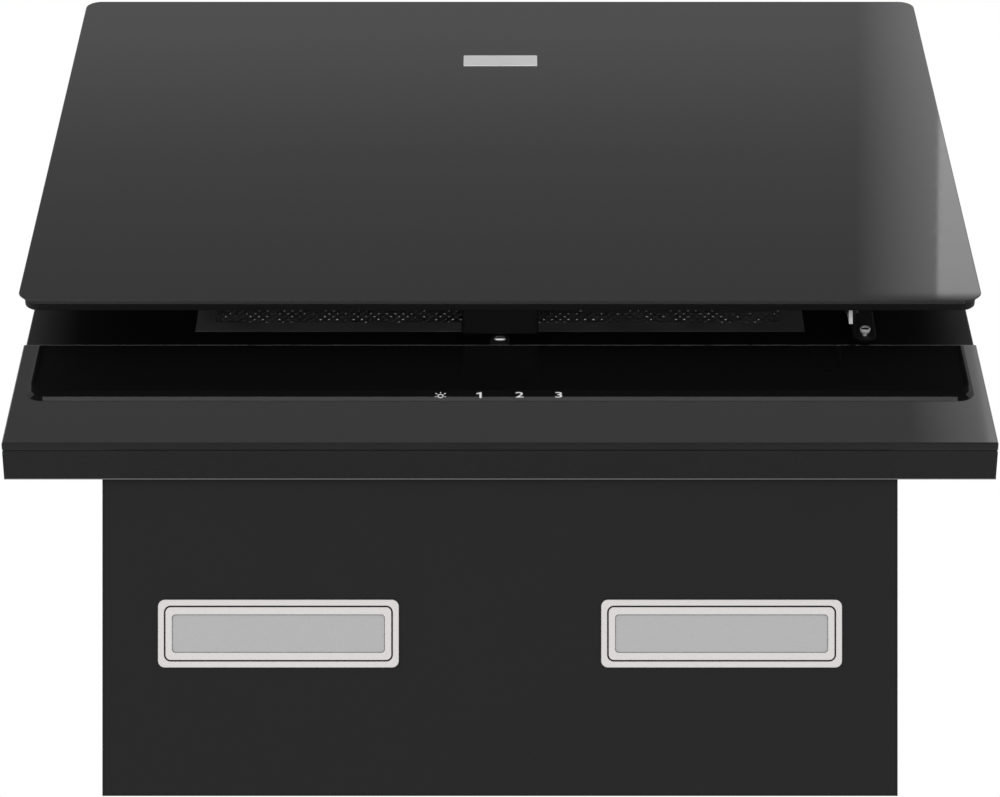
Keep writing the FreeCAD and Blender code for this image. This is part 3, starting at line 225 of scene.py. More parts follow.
def moulded(name, dark, light, roughness, grain=2600, relief=0.00003, tint=(1, 1, 1), gloss=0.5):
    """Moulded plastic with a spark-eroded grain."""
    graph = Surface(name)
    eroded = graph.noise(grain, 2)
    flow = graph.noise(40, 3)
    graph.set(Base_Color=graph.colours(eroded, [(0.3, grey(dark, tint)), (0.7, grey(light, tint))]))
    graph.set(Roughness=graph.between(flow, *roughness), Specular_IOR_Level=gloss)
    graph.bump(eroded, relief, 0.5)
    return graph.material


def circuit(name):
    """Circuit board: green lacquer with lighter tracks."""
    graph = Surface(name)
    inputs = {
        "Vector": graph.place,
        "Scale": 160.0,
        "Mortar Size": 0.03,
        "Color1": (0.006, 0.05, 0.018, 1),
        "Color2": (0.01, 0.075, 0.026, 1),
        "Mortar": (0.03, 0.14, 0.05, 1),
    }
    cells = graph.add("ShaderNodeTexBrick", inputs).outputs["Color"]
    graph.set(Base_Color=cells, Roughness=graph.between(graph.noise(300), 0.25, 0.4))
    return graph.material


def tray_paint(name):
    """The tray's powder paint, with painted shade on its face behind the panel, short of its ends: a
    near-black tone there, and a rougher surface.
    """
    # Reach of the painted shade, in metres: the half widths over which it fades out towards the ends, and the
    # heights up the slope over which it comes in
    shade_half, unshaded_half = 0.222, 0.247
    unshaded_below, shade_above = 0.09, 0.1
    graph = Surface(name)
    peel = graph.noise(1500, 3)
    along = graph.add("ShaderNodeSeparateXYZ", {"Vector": graph.place}).outputs["X"]
    from_middle = graph.add("ShaderNodeMath", {0: along}, operation="ABSOLUTE").outputs["Value"]
    inner = graph.between(from_middle, 1, 0, shade_half, unshaded_half)
    across = graph.add("ShaderNodeVectorMath", {0: graph.place, 1: UP_SLOPE}, operation="DOT_PRODUCT")
    start = TRAY_ORIGIN.dot(UP_SLOPE)
    high = graph.between(across.outputs["Value"], 0, 1, start + unshaded_below, start + shade_above)
    # Share of painted shade: full behind the panel, none near the tray's ends or below the panel's lower edge
    behind = graph.add("ShaderNodeMath", {0: inner, 1: high}, operation="MULTIPLY").outputs["Value"]
    outside = graph.colours(peel, [(0.3, grey(0.0155)), (0.7, grey(0.0215, (1, 1, 1.02)))])
    # The painted shade's near-black tone, used in place of the paint's own tone
    inside = graph.colours(peel, [(0.3, grey(0.0008)), (0.7, grey(0.002))])
    # A colour mix has its factor in socket 0, its colours in 6 and 7, and its result in 2
    tone = graph.add("ShaderNodeMix", data_type="RGBA")
    for socket, value in ((0, behind), (6, outside), (7, inside)):
        graph.join(tone.inputs[socket], value)
    graph.set(Base_Color=tone.outputs[2], Specular_IOR_Level=0.06)
    graph.set(Roughness=graph.between(behind, 0.5, 0.72, 0, 1))
    graph.bump(peel, 0.00006, 0.5)
    return graph.material


def plated_zinc(name):
    """Bright zinc plating on pressed steel: pale, with soft spangles and rolling marks."""
    graph = Surface(name)
    spangle = graph.add("ShaderNodeTexVoronoi", {"Vector": graph.place, "Scale": 420.0}).outputs["Distance"]
    rolled = graph.noise(500, 4, graph.stretched((1, 1, 12)))
    tone = graph.add("ShaderNodeMath", {0: spangle, 1: rolled}, operation="MULTIPLY").outputs["Value"]
    graph.set(Base_Color=graph.colours(tone, [(0.05, grey(0.78)), (0.4, grey(0.9, (1, 1, 1.01)))]))
    graph.set(Metallic=0.3, Roughness=graph.between(rolled, 0.3, 0.45))
    graph.bump(rolled, 0.00001, 0.5)
    return graph.material


def white_print(name):
    """Screen-printed ceramic ink."""
    graph = Surface(name)
    dots = graph.noise(3000, 2)
    graph.set(Base_Color=graph.colours(dots, [(0.3, grey(0.62)), (0.7, grey(0.72))]))
    graph.set(Roughness=graph.between(dots, 0.45, 0.6))
    return graph.material


PAINT = powder_paint("black_powder_paint", 0.0038, 0.0066, roughness=(0.5, 0.53), gloss=0.22)
PAN = powder_paint("panel_pan_paint", 0.0036, 0.0058, roughness=(0.5, 0.6), gloss=0.14)
FINISHES = {
    "black_paint": PAINT,
    "black_glass": black_glass("black_glass_finish", 0.0008, 0.0016),
    "zinc_sheet": metal("zinc_finish", 0.34, 0.5, (0.3, 0.45), (1, 30, 30)),
    "bright_steel": metal("bright_steel_finish", 0.6, 0.74, (0.1, 0.2), (6, 40, 40)),
    "black_plastic": moulded("black_plastic_finish", 0.0025, 0.005, (0.45, 0.6), gloss=0.18),
    "filter_aluminium": metal("filter_aluminium_finish", 0.6, 0.78, (0.3, 0.45), (1, 8, 8), edge=0.00003),
    "lamp_trim": moulded("lamp_trim_finish", 0.55, 0.68, (0.3, 0.42), 3200, 0.00002, (1.03, 0.99, 0.965)),
    "lamp_diffuser": moulded("lamp_diffuser_finish", 0.385, 0.425, (0.4, 0.5), 1800, 0.00002),
    "circuit_board": circuit("circuit_finish"),
    "motor_grey": powder_paint("motor_paint", 0.16, 0.22, 900, (0.35, 0.5)),
    "capacitor_white": moulded("capacitor_finish", 0.6, 0.7, (0.3, 0.4)),
}
WEAVE = metal("filter_weave_finish", 0.12, 0.19, (0.45, 0.6), (4, 4, 4), 900, metallic=0.15)
KNUCKLE = metal("filter_knuckle_finish", 0.36, 0.5, (0.12, 0.2), (4, 4, 4), 900)
LOWER_GLASS = black_glass("lower_glass_finish", 0.0028, 0.0037, 1.56)
GROUND = moulded("ground_glass_finish", 0.003, 0.005, (0.5, 0.6), gloss=0.3)
MAGNET_CUP = moulded("magnet_cup_finish", 0.004, 0.008, (0.4, 0.5), gloss=0.3)
MAGNET = metal("magnet_finish", 0.72, 0.84, (0.26, 0.32), (5, 5, 5), 900)
PLATED = plated_zinc("plated_zinc_finish")
EDGE = metal("panel_edge_finish", 0.46, 0.54, (0.06, 0.12), (1, 50, 50), 900, 0.000002, 0.00001)
SIDE_EDGE = metal("panel_side_edge_finish", 0.3, 0.36, (0.1, 0.16), (50, 1, 1), 900, 0.000002, 0.00001)
GROUND_EDGE = moulded("panel_ground_finish", 0.026, 0.034, (0.7, 0.8), gloss=0.05)
RAW_EDGE = metal("raw_edge_finish", 0.15, 0.25, (0.3, 0.5), (40, 1, 1), 300, 0.00001)
RUBBER = moulded("rubber_finish", 0.004, 0.007, (0.6, 0.8), gloss=0.2)
PRINT = white_print("white_print")
SCREW = metal("black_screw_finish", 0.03, 0.06, (0.35, 0.5), (3, 3, 3), 1200, 0.00002)
BADGE = metal("badge_finish", 0.86, 0.95, (0.28, 0.36), (1, 60, 60), 900, 0.000006)
TRAY_PAINT = tray_paint("tray_paint")
# Nodes whose finish isn't their slot's
PART_FINISHES = {
    "stay_lower_link": PLATED,
    "panel_back_plate": PAINT,
    "panel_stay_lug": PAINT,
    "stay_bracket_rivet": SCREW,
    "panel_lug_rivet": SCREW,
    "front_tray": TRAY_PAINT,
    "filter_mesh": WEAVE,
    "lower_glass": LOWER_GLASS,
}

for part in frame["record"]["subparts"]:
    node = nodes[part["node"]]
    finish = PART_FINISHES.get(part["node"], FINISHES[part["material_slot"]])
    node.data.materials.clear()
    node.data.materials.append(finish)


# Tools for pieces


def new_piece(name, mesh, body, material):
    """An object for a finished bmesh that rides on a body."""
    data = bpy.data.meshes.new(name)
    bmesh.ops.recalc_face_normals(mesh, faces=mesh.faces)
    mesh.to_mesh(data)
    mesh.free()
    data.materials.append(material)
    piece = bpy.data.objects.new(name, data)
    bpy.context.scene.collection.objects.link(piece)
    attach(piece, body)
    return piece


def join_rings(mesh, first, second, smooth=False):
    """A band of faces between two rings of points."""
    for step in range(len(first)):
        after = (step + 1) % len(first)
        face = mesh.faces.new((first[step], first[after], second[after], second[step]))
        face.smooth = smooth


def keep_sharp(mesh, angle):
    """Mark the edges that turn by more than an angle, so that shading breaks there."""
    mesh.normal_update()
    for edge in mesh.edges:
        edge.smooth = edge.calc_face_angle(0) < math.radians(angle)


def round_points(radius, steps):
    """Points (x, y) round a circle about the origin."""
    angles = [2 * math.pi * step / steps for step in range(steps)]
    return [(radius * math.cos(angle), radius * math.sin(angle)) for angle in angles]


def rounded_outline(left, low, right, high, radius, steps):
    """Points (x, y) round a rectangle with round corners, from its right upper corner on."""
    right, left = right - radius, left + radius
    high, low = high - radius, low + radius
    points = []
    for quarter, (x, y) in enumerate(((right, high), (left, high), (left, low), (right, low))):
        for step in range(steps + 1):
            angle = math.pi / 2 * (quarter + step / steps)
            points.append((x + radius * math.cos(angle), y + radius * math.sin(angle)))
    return points


def thin_prism(mesh, points, matrix, thickness):
    """A flat outline with a little thickness."""
    lower = [mesh.verts.new(matrix @ Vector((x * MM, y * MM, 0))) for x, y in points]
    upper = [mesh.verts.new(matrix @ Vector((x * MM, y * MM, thickness * MM))) for x, y in points]
    mesh.faces.new(upper)
    mesh.faces.new(lower[::-1])
    join_rings(mesh, lower, upper)


def turned(mesh, matrix, profile, steps=40):
    """A solid turned about the matrix's own Z; its profile runs up from the foot as (radius, height)."""
    rows = []
    for radius, height in profile:
        places = [Vector((x, y, height)) * MM for x, y in round_points(radius, steps)]
        rows.append([mesh.verts.new(matrix @ place) for place in places])
    for lower, upper in zip(rows, rows[1:]):
        join_rings(mesh, lower, upper)
    mesh.faces.new(rows[0][::-1])
    mesh.faces.new(rows[-1])


def screw_head(mesh, matrix, head, cap, slot, rings, steps):
    """A pan head with a cross recess, standing on the matrix's own XY plane."""
    rim_share, crown_power = 0.25, 0.7
    recess_reach, recess_depth, centre_height = 0.62 * head, 0.5 * cap, 0.45 * cap
    rows = []
    for ring in range(1, rings + 1):
        angle = ring / rings * math.pi / 2
        radius = head * math.sin(angle)
        height = cap * (rim_share + (1 - rim_share) * math.cos(angle) ** crown_power)
        row = []
        for x, y in round_points(radius, steps):
            in_slot = min(abs(x), abs(y)) < slot and radius < recess_reach
            depth = recess_depth if in_slot else 0
            row.append(mesh.verts.new(matrix @ Vector((x * MM, y * MM, (height - depth) * MM))))
        rows.append(row)
    centre = mesh.verts.new(matrix @ Vector((0, 0, centre_height * MM)))
    foot = [mesh.verts.new(matrix @ Vector((x * MM, y * MM, 0))) for x, y in round_points(head, steps)]
    rows.append(foot)
    for step in range(steps):
        after = (step + 1) % steps
        mesh.faces.new((centre, rows[0][step], rows[0][after]))
        for inner, outer in zip(rows, rows[1:]):
            mesh.faces.new((inner[step], outer[step], outer[after], inner[after]))
    mesh.faces.new(foot[::-1])


def profile_strip(name, profile, half_width, steps, body, material):
    """A strip along X with its cross-section given as points (u, n) of the slope frame."""
    mesh = bmesh.new()
    rows = []
    for step in range(steps + 1):
        x = -half_width + 2 * half_width * step / steps
        rows.append([mesh.verts.new(on_slope(x, u, n)) for u, n in profile])
    for left, right in zip(rows, rows[1:]):
        join_rings(mesh, left, right)
    mesh.faces.new(rows[0])
    mesh.faces.new(rows[-1][::-1])
    return new_piece(name, mesh, body, material)


# Front panel


def glass_edge(share):
    """Insets at the ends and sides, and height, at a share of the way down the glass's polished edge."""
    depth = GLASS_SHOULDER - GLASS_BACK
    first, last = EDGE_TILTS
    inset = depth * (first * share + (last - first) * share ** 2 / 2)
    return inset, SIDE_BEVEL * share, GLASS_SHOULDER - depth * share


def panel_outline(inset, side_inset):
    """The front panel's outline, drawn in at its ends and at its sides, as points (x, u)."""
    half = PANEL_WIDTH / 2 - side_inset
    low, high = PANEL_LOW + inset, PANEL_LOW + PANEL_LENGTH - inset
    return rounded_outline(-half, low, half, high, PANEL_CORNER - inset, CORNER_STEPS)


def panel_rings(mesh, levels):
    """Rings of points round the front panel; a level is its insets at the ends and sides, and its height."""
    rings = []
    for inset, side_inset, level in levels:
        rings.append([mesh.verts.new(on_slope(x, u, level)) for x, u in panel_outline(inset, side_inset)])
    return rings


def panel_plate(name, levels, material):
    """A plate of the front panel's outline; its edge is a list of levels, from front to back."""
    mesh = bmesh.new()
    rings = panel_rings(mesh, levels)
    for front, back in zip(rings, rings[1:]):
        join_rings(mesh, front, back, smooth=True)
    mesh.faces.new(rings[0])
    mesh.faces.new(rings[-1][::-1])
    keep_sharp(mesh, 30)
    return new_piece(name, mesh, "front_panel", material)


def front_panel_plates():
    """The front glass with its polished edge, and the steel pan bonded to its back."""
    arris_steps, edge_steps = 4, 6
    levels = []
    for step in range(arris_steps):
        turn = math.pi / 2 * step / arris_steps
        inset = FRONT_ROUND * (1 - math.sin(turn))
        levels.append((inset, inset, GLASS_SHOULDER + FRONT_ROUND * math.cos(turn)))
    levels += [glass_edge(step / edge_steps) for step in range(edge_steps + 1)]
    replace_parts(panel_plate("front_glass", levels, FINISHES["black_glass"]), "panel_glass")
    # The pan's section, as inset from the glass's back edge and level: outside wall, round rim, inside wall
    section = [(0.15, GLASS_BACK), (0.3, RIM_BACK + 0.3), (0.6, RIM_BACK), (1.6, RIM_BACK), (1.8, PANEL_BACK)]
    inset, side_inset, _ = glass_edge(1)
    levels = [(inset + more, side_inset + more, level) for more, level in section]
    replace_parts(panel_plate("front_back_sheet", levels, PAN), "panel_back_plate")


def panel_ground_edge():
    """The ground skin round the edge of the front glass, left bare by the metal skins at its corners."""
    skin = TRIM_SKIN / 2
    outer, inner = [], []
    for share in (TRIM_START, 0.35, 0.7, 1):
        inset, side_inset, level = glass_edge(share)
        outer.append((inset - skin, side_inset - skin, level))
        inner.append((inset + TRIM_BED, side_inset + TRIM_BED, level))
    mesh = bmesh.new()
    rings = panel_rings(mesh, outer + inner[::-1])
    for front, back in zip(rings, rings[1:] + rings[:1]):
        join_rings(mesh, front, back, smooth=True)
    keep_sharp(mesh, 30)
    new_piece("panel_ground_edge", mesh, "front_panel", GROUND_EDGE)


def panel_edge_trim():
    """The polished metal skin on the lower edge of the front glass."""
    edge_steps, lengths, end_gap = 6, 8, 0.5
    outer, inner = [], []
    for step in range(edge_steps + 1):
        inset, _, level = glass_edge(TRIM_START + (1 - TRIM_START) * step / edge_steps)
        outer.append((PANEL_LOW + inset - TRIM_SKIN, level))
        inner.append((PANEL_LOW + inset + TRIM_BED, level))
    half = PANEL_WIDTH / 2 - PANEL_CORNER - end_gap
    profile_strip("panel_edge_trim", outer + inner[::-1], half, lengths, "front_panel", EDGE)


def panel_side_trim():
    """The metal skin on the bevels at the sides of the front glass, led half round the lower corners."""
    rails = []
    for share, more in ((TRIM_START, -TRIM_SKIN), (1, -TRIM_SKIN), (1, TRIM_BED), (TRIM_START, TRIM_BED)):
        inset, side_inset, level = glass_edge(share)
        rails.append((panel_outline(inset + more, side_inset + more), level))
    corner = CORNER_STEPS + 1
    left = list(range(2 * corner - 1, 2 * corner + TRIM_TURN + 1))
    right = list(range(4 * corner - 1 - TRIM_TURN, 4 * corner)) + [0]
    mesh = bmesh.new()
    for stretch in (left, right):
        sections = []
        for point in stretch:
            sections.append([mesh.verts.new(on_slope(*outline[point], level)) for outline, level in rails])
        for first, second in zip(sections, sections[1:]):
            join_rings(mesh, first, second, smooth=True)
        mesh.faces.new(sections[0])
        mesh.faces.new(sections[-1][::-1])
    keep_sharp(mesh, 30)
    new_piece("panel_side_trim", mesh, "front_panel", SIDE_EDGE)


def bare_badge():
    """The bare plate on the front panel, with bevelled edges."""
    x, level, half_x, half_u, thickness, bevel = 0.2, 386.6, 21.5, 7.2, 0.7, 0.25
    outline = [(-half_x, -half_u), (half_x, -half_u), (half_x, half_u), (-half_x, half_u)]
    mesh = bmesh.new()
    thin_prism(mesh, outline, slope_matrix(x, level, PANEL_FACE), thickness)
    bmesh.ops.bevel(mesh, geom=mesh.edges[:], offset=bevel * MM, segments=2, affect="EDGES")
    new_piece("badge_plate", mesh, "front_panel", BADGE)


# Lower glass, tray and lamps


def lower_glass_edge():
    """The ground lower edge and arris of the lower glass."""
    skin, bed, arris, start, half_width = 0.008, 0.02, 0.5, 0.5, 248.4
    corner = LOWER_GLASS_FACE - arris
    profile = [
        (-skin, start),
        (-skin, corner),
        (arris, LOWER_GLASS_FACE + skin),
        (arris, LOWER_GLASS_FACE - bed),
        (bed, corner - bed),
        (bed, start),
    ]
    profile_strip("lower_glass_edge", profile, half_width, 8, "hood", GROUND)


def tray_raw_edge():
    """The bare cut edge of the tray's lower fold."""
    depth, half_width = 16.9, 248.5
    profile = [(-0.05, -depth), (0.35, -depth - 0.04), (0.35, -depth + 0.4), (-0.05, -depth + 0.5)]
    profile_strip("tray_raw_edge", profile, half_width, 12, "hood", RAW_EDGE)


def lamp_gasket(name, middle):
    """The black rubber ring in the groove between a lamp's trim and its body."""
    low, high, steps = -0.55, 0.8, 5
    outer, inner = (57.5, 14.0, 3.35), (56.8, 13.3, 2.65)
    mesh = bmesh.new()
    rings = []
    for (half_x, half_y, corner), z in ((outer, low), (outer, high), (inner, high), (inner, low)):
        left, right = middle - half_x, middle + half_x
        outline = rounded_outline(left, LAMP_Y - half_y, right, LAMP_Y + half_y, corner, steps)
        rings.append([mesh.verts.new(Vector((x, y, z)) * MM) for x, y in outline])
    for first, second in zip(rings, rings[1:] + rings[:1]):
        join_rings(mesh, first, second)
    new_piece(name, mesh, "hood", RUBBER)


def touch_digits():
    """The printed digits of the touch keys; the first is drawn as a stroke with its flag."""
    stroke = [(-0.25, -2.95), (0.95, -2.95), (0.95, 2.95), (-0.05, 2.95)]
    flag = [(-1.75, 1.9), (-1.75, 0.85), (-0.25, 1.6)]
    mesh = bmesh.new()
    thin_prism(mesh, stroke + flag, slope_matrix(KEY_PLACES["1"], KEY_LEVEL, PRINT_LOW), PRINT_THICK)
    new_piece("touch_digit_1", mesh, "hood", PRINT)
    wide = Matrix.Diagonal((DIGIT_STRETCH, 1.0, 1.0, 1.0))
    for digit in ("2", "3"):
        curve = bpy.data.curves.new(f"touch_digit_{digit}", "FONT")
        curve.body = digit
        curve.align_x = "CENTER"
        curve.align_y = "CENTER"
        curve.size = DIGIT_SIZE * MM
        curve.offset = DIGIT_WEIGHT * MM
        curve.extrude = PRINT_THICK / 2 * MM
        text = bpy.data.objects.new("outline", curve)
        bpy.context.scene.collection.objects.link(text)
        bpy.context.view_layer.update()
        data = bpy.data.meshes.new_from_object(text.evaluated_get(bpy.context.evaluated_depsgraph_get()))
        bpy.data.objects.remove(text)
        data.transform(slope_matrix(KEY_PLACES[digit], KEY_LEVEL, PRINT_LOW + PRINT_THICK / 2) @ wide)
        data.materials.clear()
        data.materials.append(PRINT)
        piece = bpy.data.objects.new(f"touch_digit_{digit}", data)
        bpy.context.scene.collection.objects.link(piece)
        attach(piece, "hood")


def light_symbol():
    """The printed lamp sign: a ring with rays over and beside it."""
    mesh = bmesh.new()
    matrix = slope_matrix(KEY_PLACES["lamp"], KEY_LEVEL, PRINT_LOW)
    steps, middle, half_ray = 24, -0.9, 0.27
    inner, outer = (1.0, 1.3), (1.55, 2.1)
    for step in range(steps):
        first, last = [2 * math.pi * (step + more) / steps for more in (0, 1)]
        points = []
        for (wide, tall), angle in ((inner, first), (outer, first), (outer, last), (inner, last)):
            points.append((wide * math.cos(angle), middle + tall * math.sin(angle)))
        thin_prism(mesh, points, matrix, PRINT_THICK)
    rays = [((0, 1.9), (0, 3.2))]
    for side in (-1, 1):
        rays.append(((side * 1.65, 0.9), (side * 2.65, 2.1)))
        rays.append(((side * 1.95, -1.3), (side * 2.85, -1.9)))
    for ray in rays:
        start, end = [Vector(point) for point in ray]
        along = (end - start).normalized()
        across = Vector((-along.y, along.x)) * half_ray
        thin_prism(mesh, [start - across, end - across, end + across, start + across], matrix, PRINT_THICK)
    new_piece("touch_light_symbol", mesh, "hood", PRINT)


# Filter


# One cell of the expanded metal: rim and opening points, as shares of their half sizes
CELL = [
    (-1, 0, -1, 0),
    (-1, 1, -0.5, 0.9),
    (1, 1, 0.5, 0.9),
    (1, 0, 1, 0),
    (1, -1, 0.5, -0.9),
    (-1, -1, -0.5, -0.9),
]
# Width of a group of bumps, and the numbers that scatter bumps and lips over the cells
KNUCKLE_GROUP = 20.7
KNUCKLE_SCATTER = (45.16, 94.67, 914.3)
LIP_SCATTER = (12.99, 78.23, 437.6)


def scatter(row, column, numbers):
    """A repeatable value from 0 to 1 for a cell."""
    by_row, by_column, size = numbers
    return math.sin(row * by_row + column * by_column) * size % 1


def knuckle(mesh, x, u, n, size):
    """A small upset bump on a bond of the expanded metal, with a steep lower flank."""
    half, crest, rise = 0.42 * size, 0.26 * size, 0.34 * size
    low, top, back = u - 0.15 * size, u + 0.05 * size, u + 0.5 * size
    foot = [(-half, low, 0), (half, low, 0)]
    ridge = [(crest, top, rise), (-crest, top, rise)]
    heel = [(half, back, 0), (-half, back, 0)]
    points = [mesh.verts.new(on_slope(x + across, up, n + out)) for across, up, out in foot + ridge + heel]
    for corners in ((0, 1, 2, 3), (3, 2, 4, 5), (1, 4, 2), (0, 3, 5), (0, 5, 4, 1)):
        mesh.faces.new([points[corner] for corner in corners])


def filter_weave():
    """The filter's upper layer of expanded metal: rows of lens-shaped openings with raised lips."""
    pitch_x, pitch_u = 4.4, 3.2
    half_width, low, high = 150.5, 133.5, 372.5
    block_half, block_low = 29.8, 343.0
    middle, lip = -1.4, 0.42
    hole_x, hole_u = 1.5, 0.75
    mesh = bmesh.new()
    knuckles = bmesh.new()
    rows = int((high - low) / pitch_u)
    columns = int(2 * half_width / pitch_x)
    for row in range(rows):
        u = low + (row + 0.5) * pitch_u
        shift = 0.5 if row % 2 else 0.0
        for column in range(columns):
            x = -half_width + (column + 0.5 + shift) * pitch_x
            if x + pitch_x / 2 > half_width:
                continue
            if abs(x) < block_half + pitch_x / 2 and u + pitch_u / 2 > block_low:
                continue
            press = lip * (0.55 + 0.9 * scatter(row, column, LIP_SCATTER))
            rim, hole = [], []
            for side_x, side_u, in_x, in_u in CELL:
                corner = on_slope(x + side_x * pitch_x / 2, u + side_u * pitch_u / 2, middle)
                rim.append(mesh.verts.new(corner))
                lip_point = on_slope(x + in_x * hole_x, u + in_u * hole_u, middle + in_u * press)
                hole.append(mesh.verts.new(lip_point))
            join_rings(mesh, rim, hole)
            chance = 0.22 + 0.45 * math.sin(math.pi * x / KNUCKLE_GROUP) ** 2
            if scatter(row, column, KNUCKLE_SCATTER) < chance:
                knuckle(knuckles, x + pitch_x / 2, u, middle, 0.7 + 0.5 * press / lip)
    bmesh.ops.remove_doubles(mesh, verts=mesh.verts, dist=0.00002)
    new_piece("filter_weave", mesh, "hood", WEAVE)
    new_piece("filter_knuckles", knuckles, "hood", KNUCKLE)


# Catch and screws


def catch_magnet():
    """The catch's magnet: a dark cup with a bright oval pole."""
    level, shoulder, rise, half_x, half_u, steps = 110.0, 2.4, 1.6, 3.2, 1.7, 10
    cup = bmesh.new()
    turned(cup, slope_matrix(0, level, 0), [(5.0, 0.0), (5.0, 1.9), (4.85, 2.2), (4.5, shoulder)])
    piece = new_piece("catch_magnet_cup", cup, "hood", MAGNET_CUP)
    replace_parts(piece, "catch_magnet")
    dome = []
    for step in range(steps):
        angle = math.pi / 2 * step / steps
        dome.append((half_x * math.cos(angle), rise * math.sin(angle)))
    pole = bmesh.new()
    turned(pole, slope_matrix(0, level, shoulder) @ Matrix.Diagonal((1, half_u / half_x, 1, 1)), dome)
    for face in pole.faces:
        face.smooth = len(face.verts) == 4
    new_piece("catch_magnet_pole", pole, "hood", MAGNET)


def stay_screw_head():
    """The plated screw that holds the stay's bracket, with its bright recessed top."""
    x, level, seat, top, top_radius = 192.15, 116.2, 1.5, 4.1, 2.3
    shank = [(1.2, 0.0), (1.2, 1.7)]
    shoulder = [(2.1, 1.8), (2.4, 2.3), (2.85, 3.8), (2.75, top), (top_radius, top)]
    mesh = bmesh.new()
    turned(mesh, slope_matrix(x, level, seat), shank + shoulder)
    piece = new_piece("stay_screw_shoulder", mesh, "hood", PLATED)
    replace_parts(piece, "stay_screw")
    mesh = bmesh.new()
    screw_head(mesh, slope_matrix(x, level, seat + top), top_radius, cap=0.7, slot=0.42, rings=12, steps=48)
    new_piece("stay_screw_head", mesh, "hood", FINISHES["bright_steel"])


def housing_screws():
    """The black sheet-metal screws along the housing's seams, on its sides and its top."""
    size = {"head": 3.4, "cap": 1.9, "slot": 0.5, "rings": 5, "steps": 24}
    back_seam, top_seam = -11, 361
    places = [(back_seam, z) for z in (28, 132, 238, 344)] + [(y, top_seam) for y in (-96, -196, -296)]
    mesh = bmesh.new()
    for node, side in (("left_side_panel", -1), ("right_side_panel", 1)):
        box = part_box(node)
        face = box[0][0] if side < 0 else box[1][0]
        turn = Matrix.Rotation(side * math.pi / 2, 4, "Y")
        for y, z in places:
            screw_head(mesh, Matrix.Translation((face, y * MM, z * MM)) @ turn, **size)
    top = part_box("top_panel")[1][2]
    for x in (-178, -89, 89, 178):
        screw_head(mesh, Matrix.Translation((x * MM, back_seam * MM, top)), **size)
    new_piece("housing_screws", mesh, "hood", SCREW)


front_panel_plates()
panel_ground_edge()
panel_edge_trim()
panel_side_trim()
lower_glass_edge()
tray_raw_edge()
lamp_gasket("left_lamp_gasket", -LAMP_X)
lamp_gasket("right_lamp_gasket", LAMP_X)
filter_weave()
touch_digits()
light_symbol()
bare_badge()
catch_magnet()
stay_screw_head()
housing_screws()


# Stage


def stage_plane(name, centre, towards, width, height, material):
    """A flat panel that faces a point, with its width level."""
    centre = Vector(centre)
    facing = (Vector(towards) - centre).normalized()
    level = Vector((0, 0, 1)).cross(facing).normalized() if abs(facing.z) < 0.999 else Vector((1, 0, 0))
    up = facing.cross(level)
    mesh = bmesh.new()
    corners = []
    for across, along in ((-0.5, -0.5), (0.5, -0.5), (0.5, 0.5), (-0.5, 0.5)):
        corners.append(mesh.verts.new(centre + level * (across * width) + up * (along * height)))
    mesh.faces.new(corners)
    data = bpy.data.meshes.new(name)
    mesh.to_mesh(data)
    mesh.free()
    data.materials.append(material)
    plane = bpy.data.objects.new(name, data)
    bpy.context.scene.collection.objects.link(plane)
    return plane


def glow(name, level, axis, stops, clear=False, lean=0.0, fade=0.0):
    """A light panel's material: a run of levels along one axis, which may lean with the height.

    A clear panel adds to what is behind it, and a fade is the share of the height over which it comes up.
    """
    material = bpy.data.materials.new(name)
    material.use_nodes = True
    material.node_tree.nodes.clear()
    graph = Graph(material.node_tree)
    place = graph.add("ShaderNodeTexCoord").outputs["Generated"]
    parts = graph.add("ShaderNodeSeparateXYZ", {"Vector": place}).outputs
    leaning = graph.add("ShaderNodeMath", {0: parts["Z"], 1: lean, 2: parts[axis]}, operation="MULTIPLY_ADD")
    colour = graph.colours(leaning.outputs["Value"], [(where, grey(value)) for where, value in stops])
    light = graph.add("ShaderNodeEmission", {"Color": colour, "Strength": level})
    if fade:
        inputs = {"Value": parts["Z"], "From Max": fade, "To Max": level}
        graph.join(light.inputs["Strength"], graph.add("ShaderNodeMapRange", inputs).outputs["Result"])
    shader = light.outputs["Emission"]
    if clear:
        see_through = graph.add("ShaderNodeBsdfTransparent").outputs["BSDF"]
        shader = graph.add("ShaderNodeAddShader", {0: shader, 1: see_through}).outputs["Shader"]
    graph.add("ShaderNodeOutputMaterial", {"Surface": shader})
    return material


def reflection_only(plane):
    """Let a light panel show in gloss alone."""
    plane.visible_camera = False
    plane.visible_diffuse = False
    plane.visible_shadow = False
    plane.visible_transmission = False


FLOOR_LEVEL = -2.6
FLOOR_SIZE = 190
floor_paint = powder_paint("floor_paint", 0.74, 0.8, 60, (0.7, 0.8))
stage_plane("floor", (0, 0, FLOOR_LEVEL), (0, 0, 1), FLOOR_SIZE, FLOOR_SIZE, floor_paint)

# The front reflector: the point on the hood that it faces, its distance, its height angle and its levels
FRONT = Vector((0, -0.34, 0.2))
REACH = 6.0
RISE = math.radians(33.5)
FRONT_LEVELS = [(0.4, 0.385), (0.455, 0.396), (0.506, 0.457), (0.56, 0.61)]
front_centre = FRONT + Vector((0, -math.cos(RISE), math.sin(RISE))) * REACH
front_light = glow("front_reflector_light", 1.0, "Z", FRONT_LEVELS)
reflection_only(stage_plane("front_reflector", front_centre, FRONT, 7.0, 5.0, front_light))

# Softboxes in front of its right part: how far nearer they are, and their full level
SIDE_STEP = 0.1
SIDE_LIGHT = 2.4


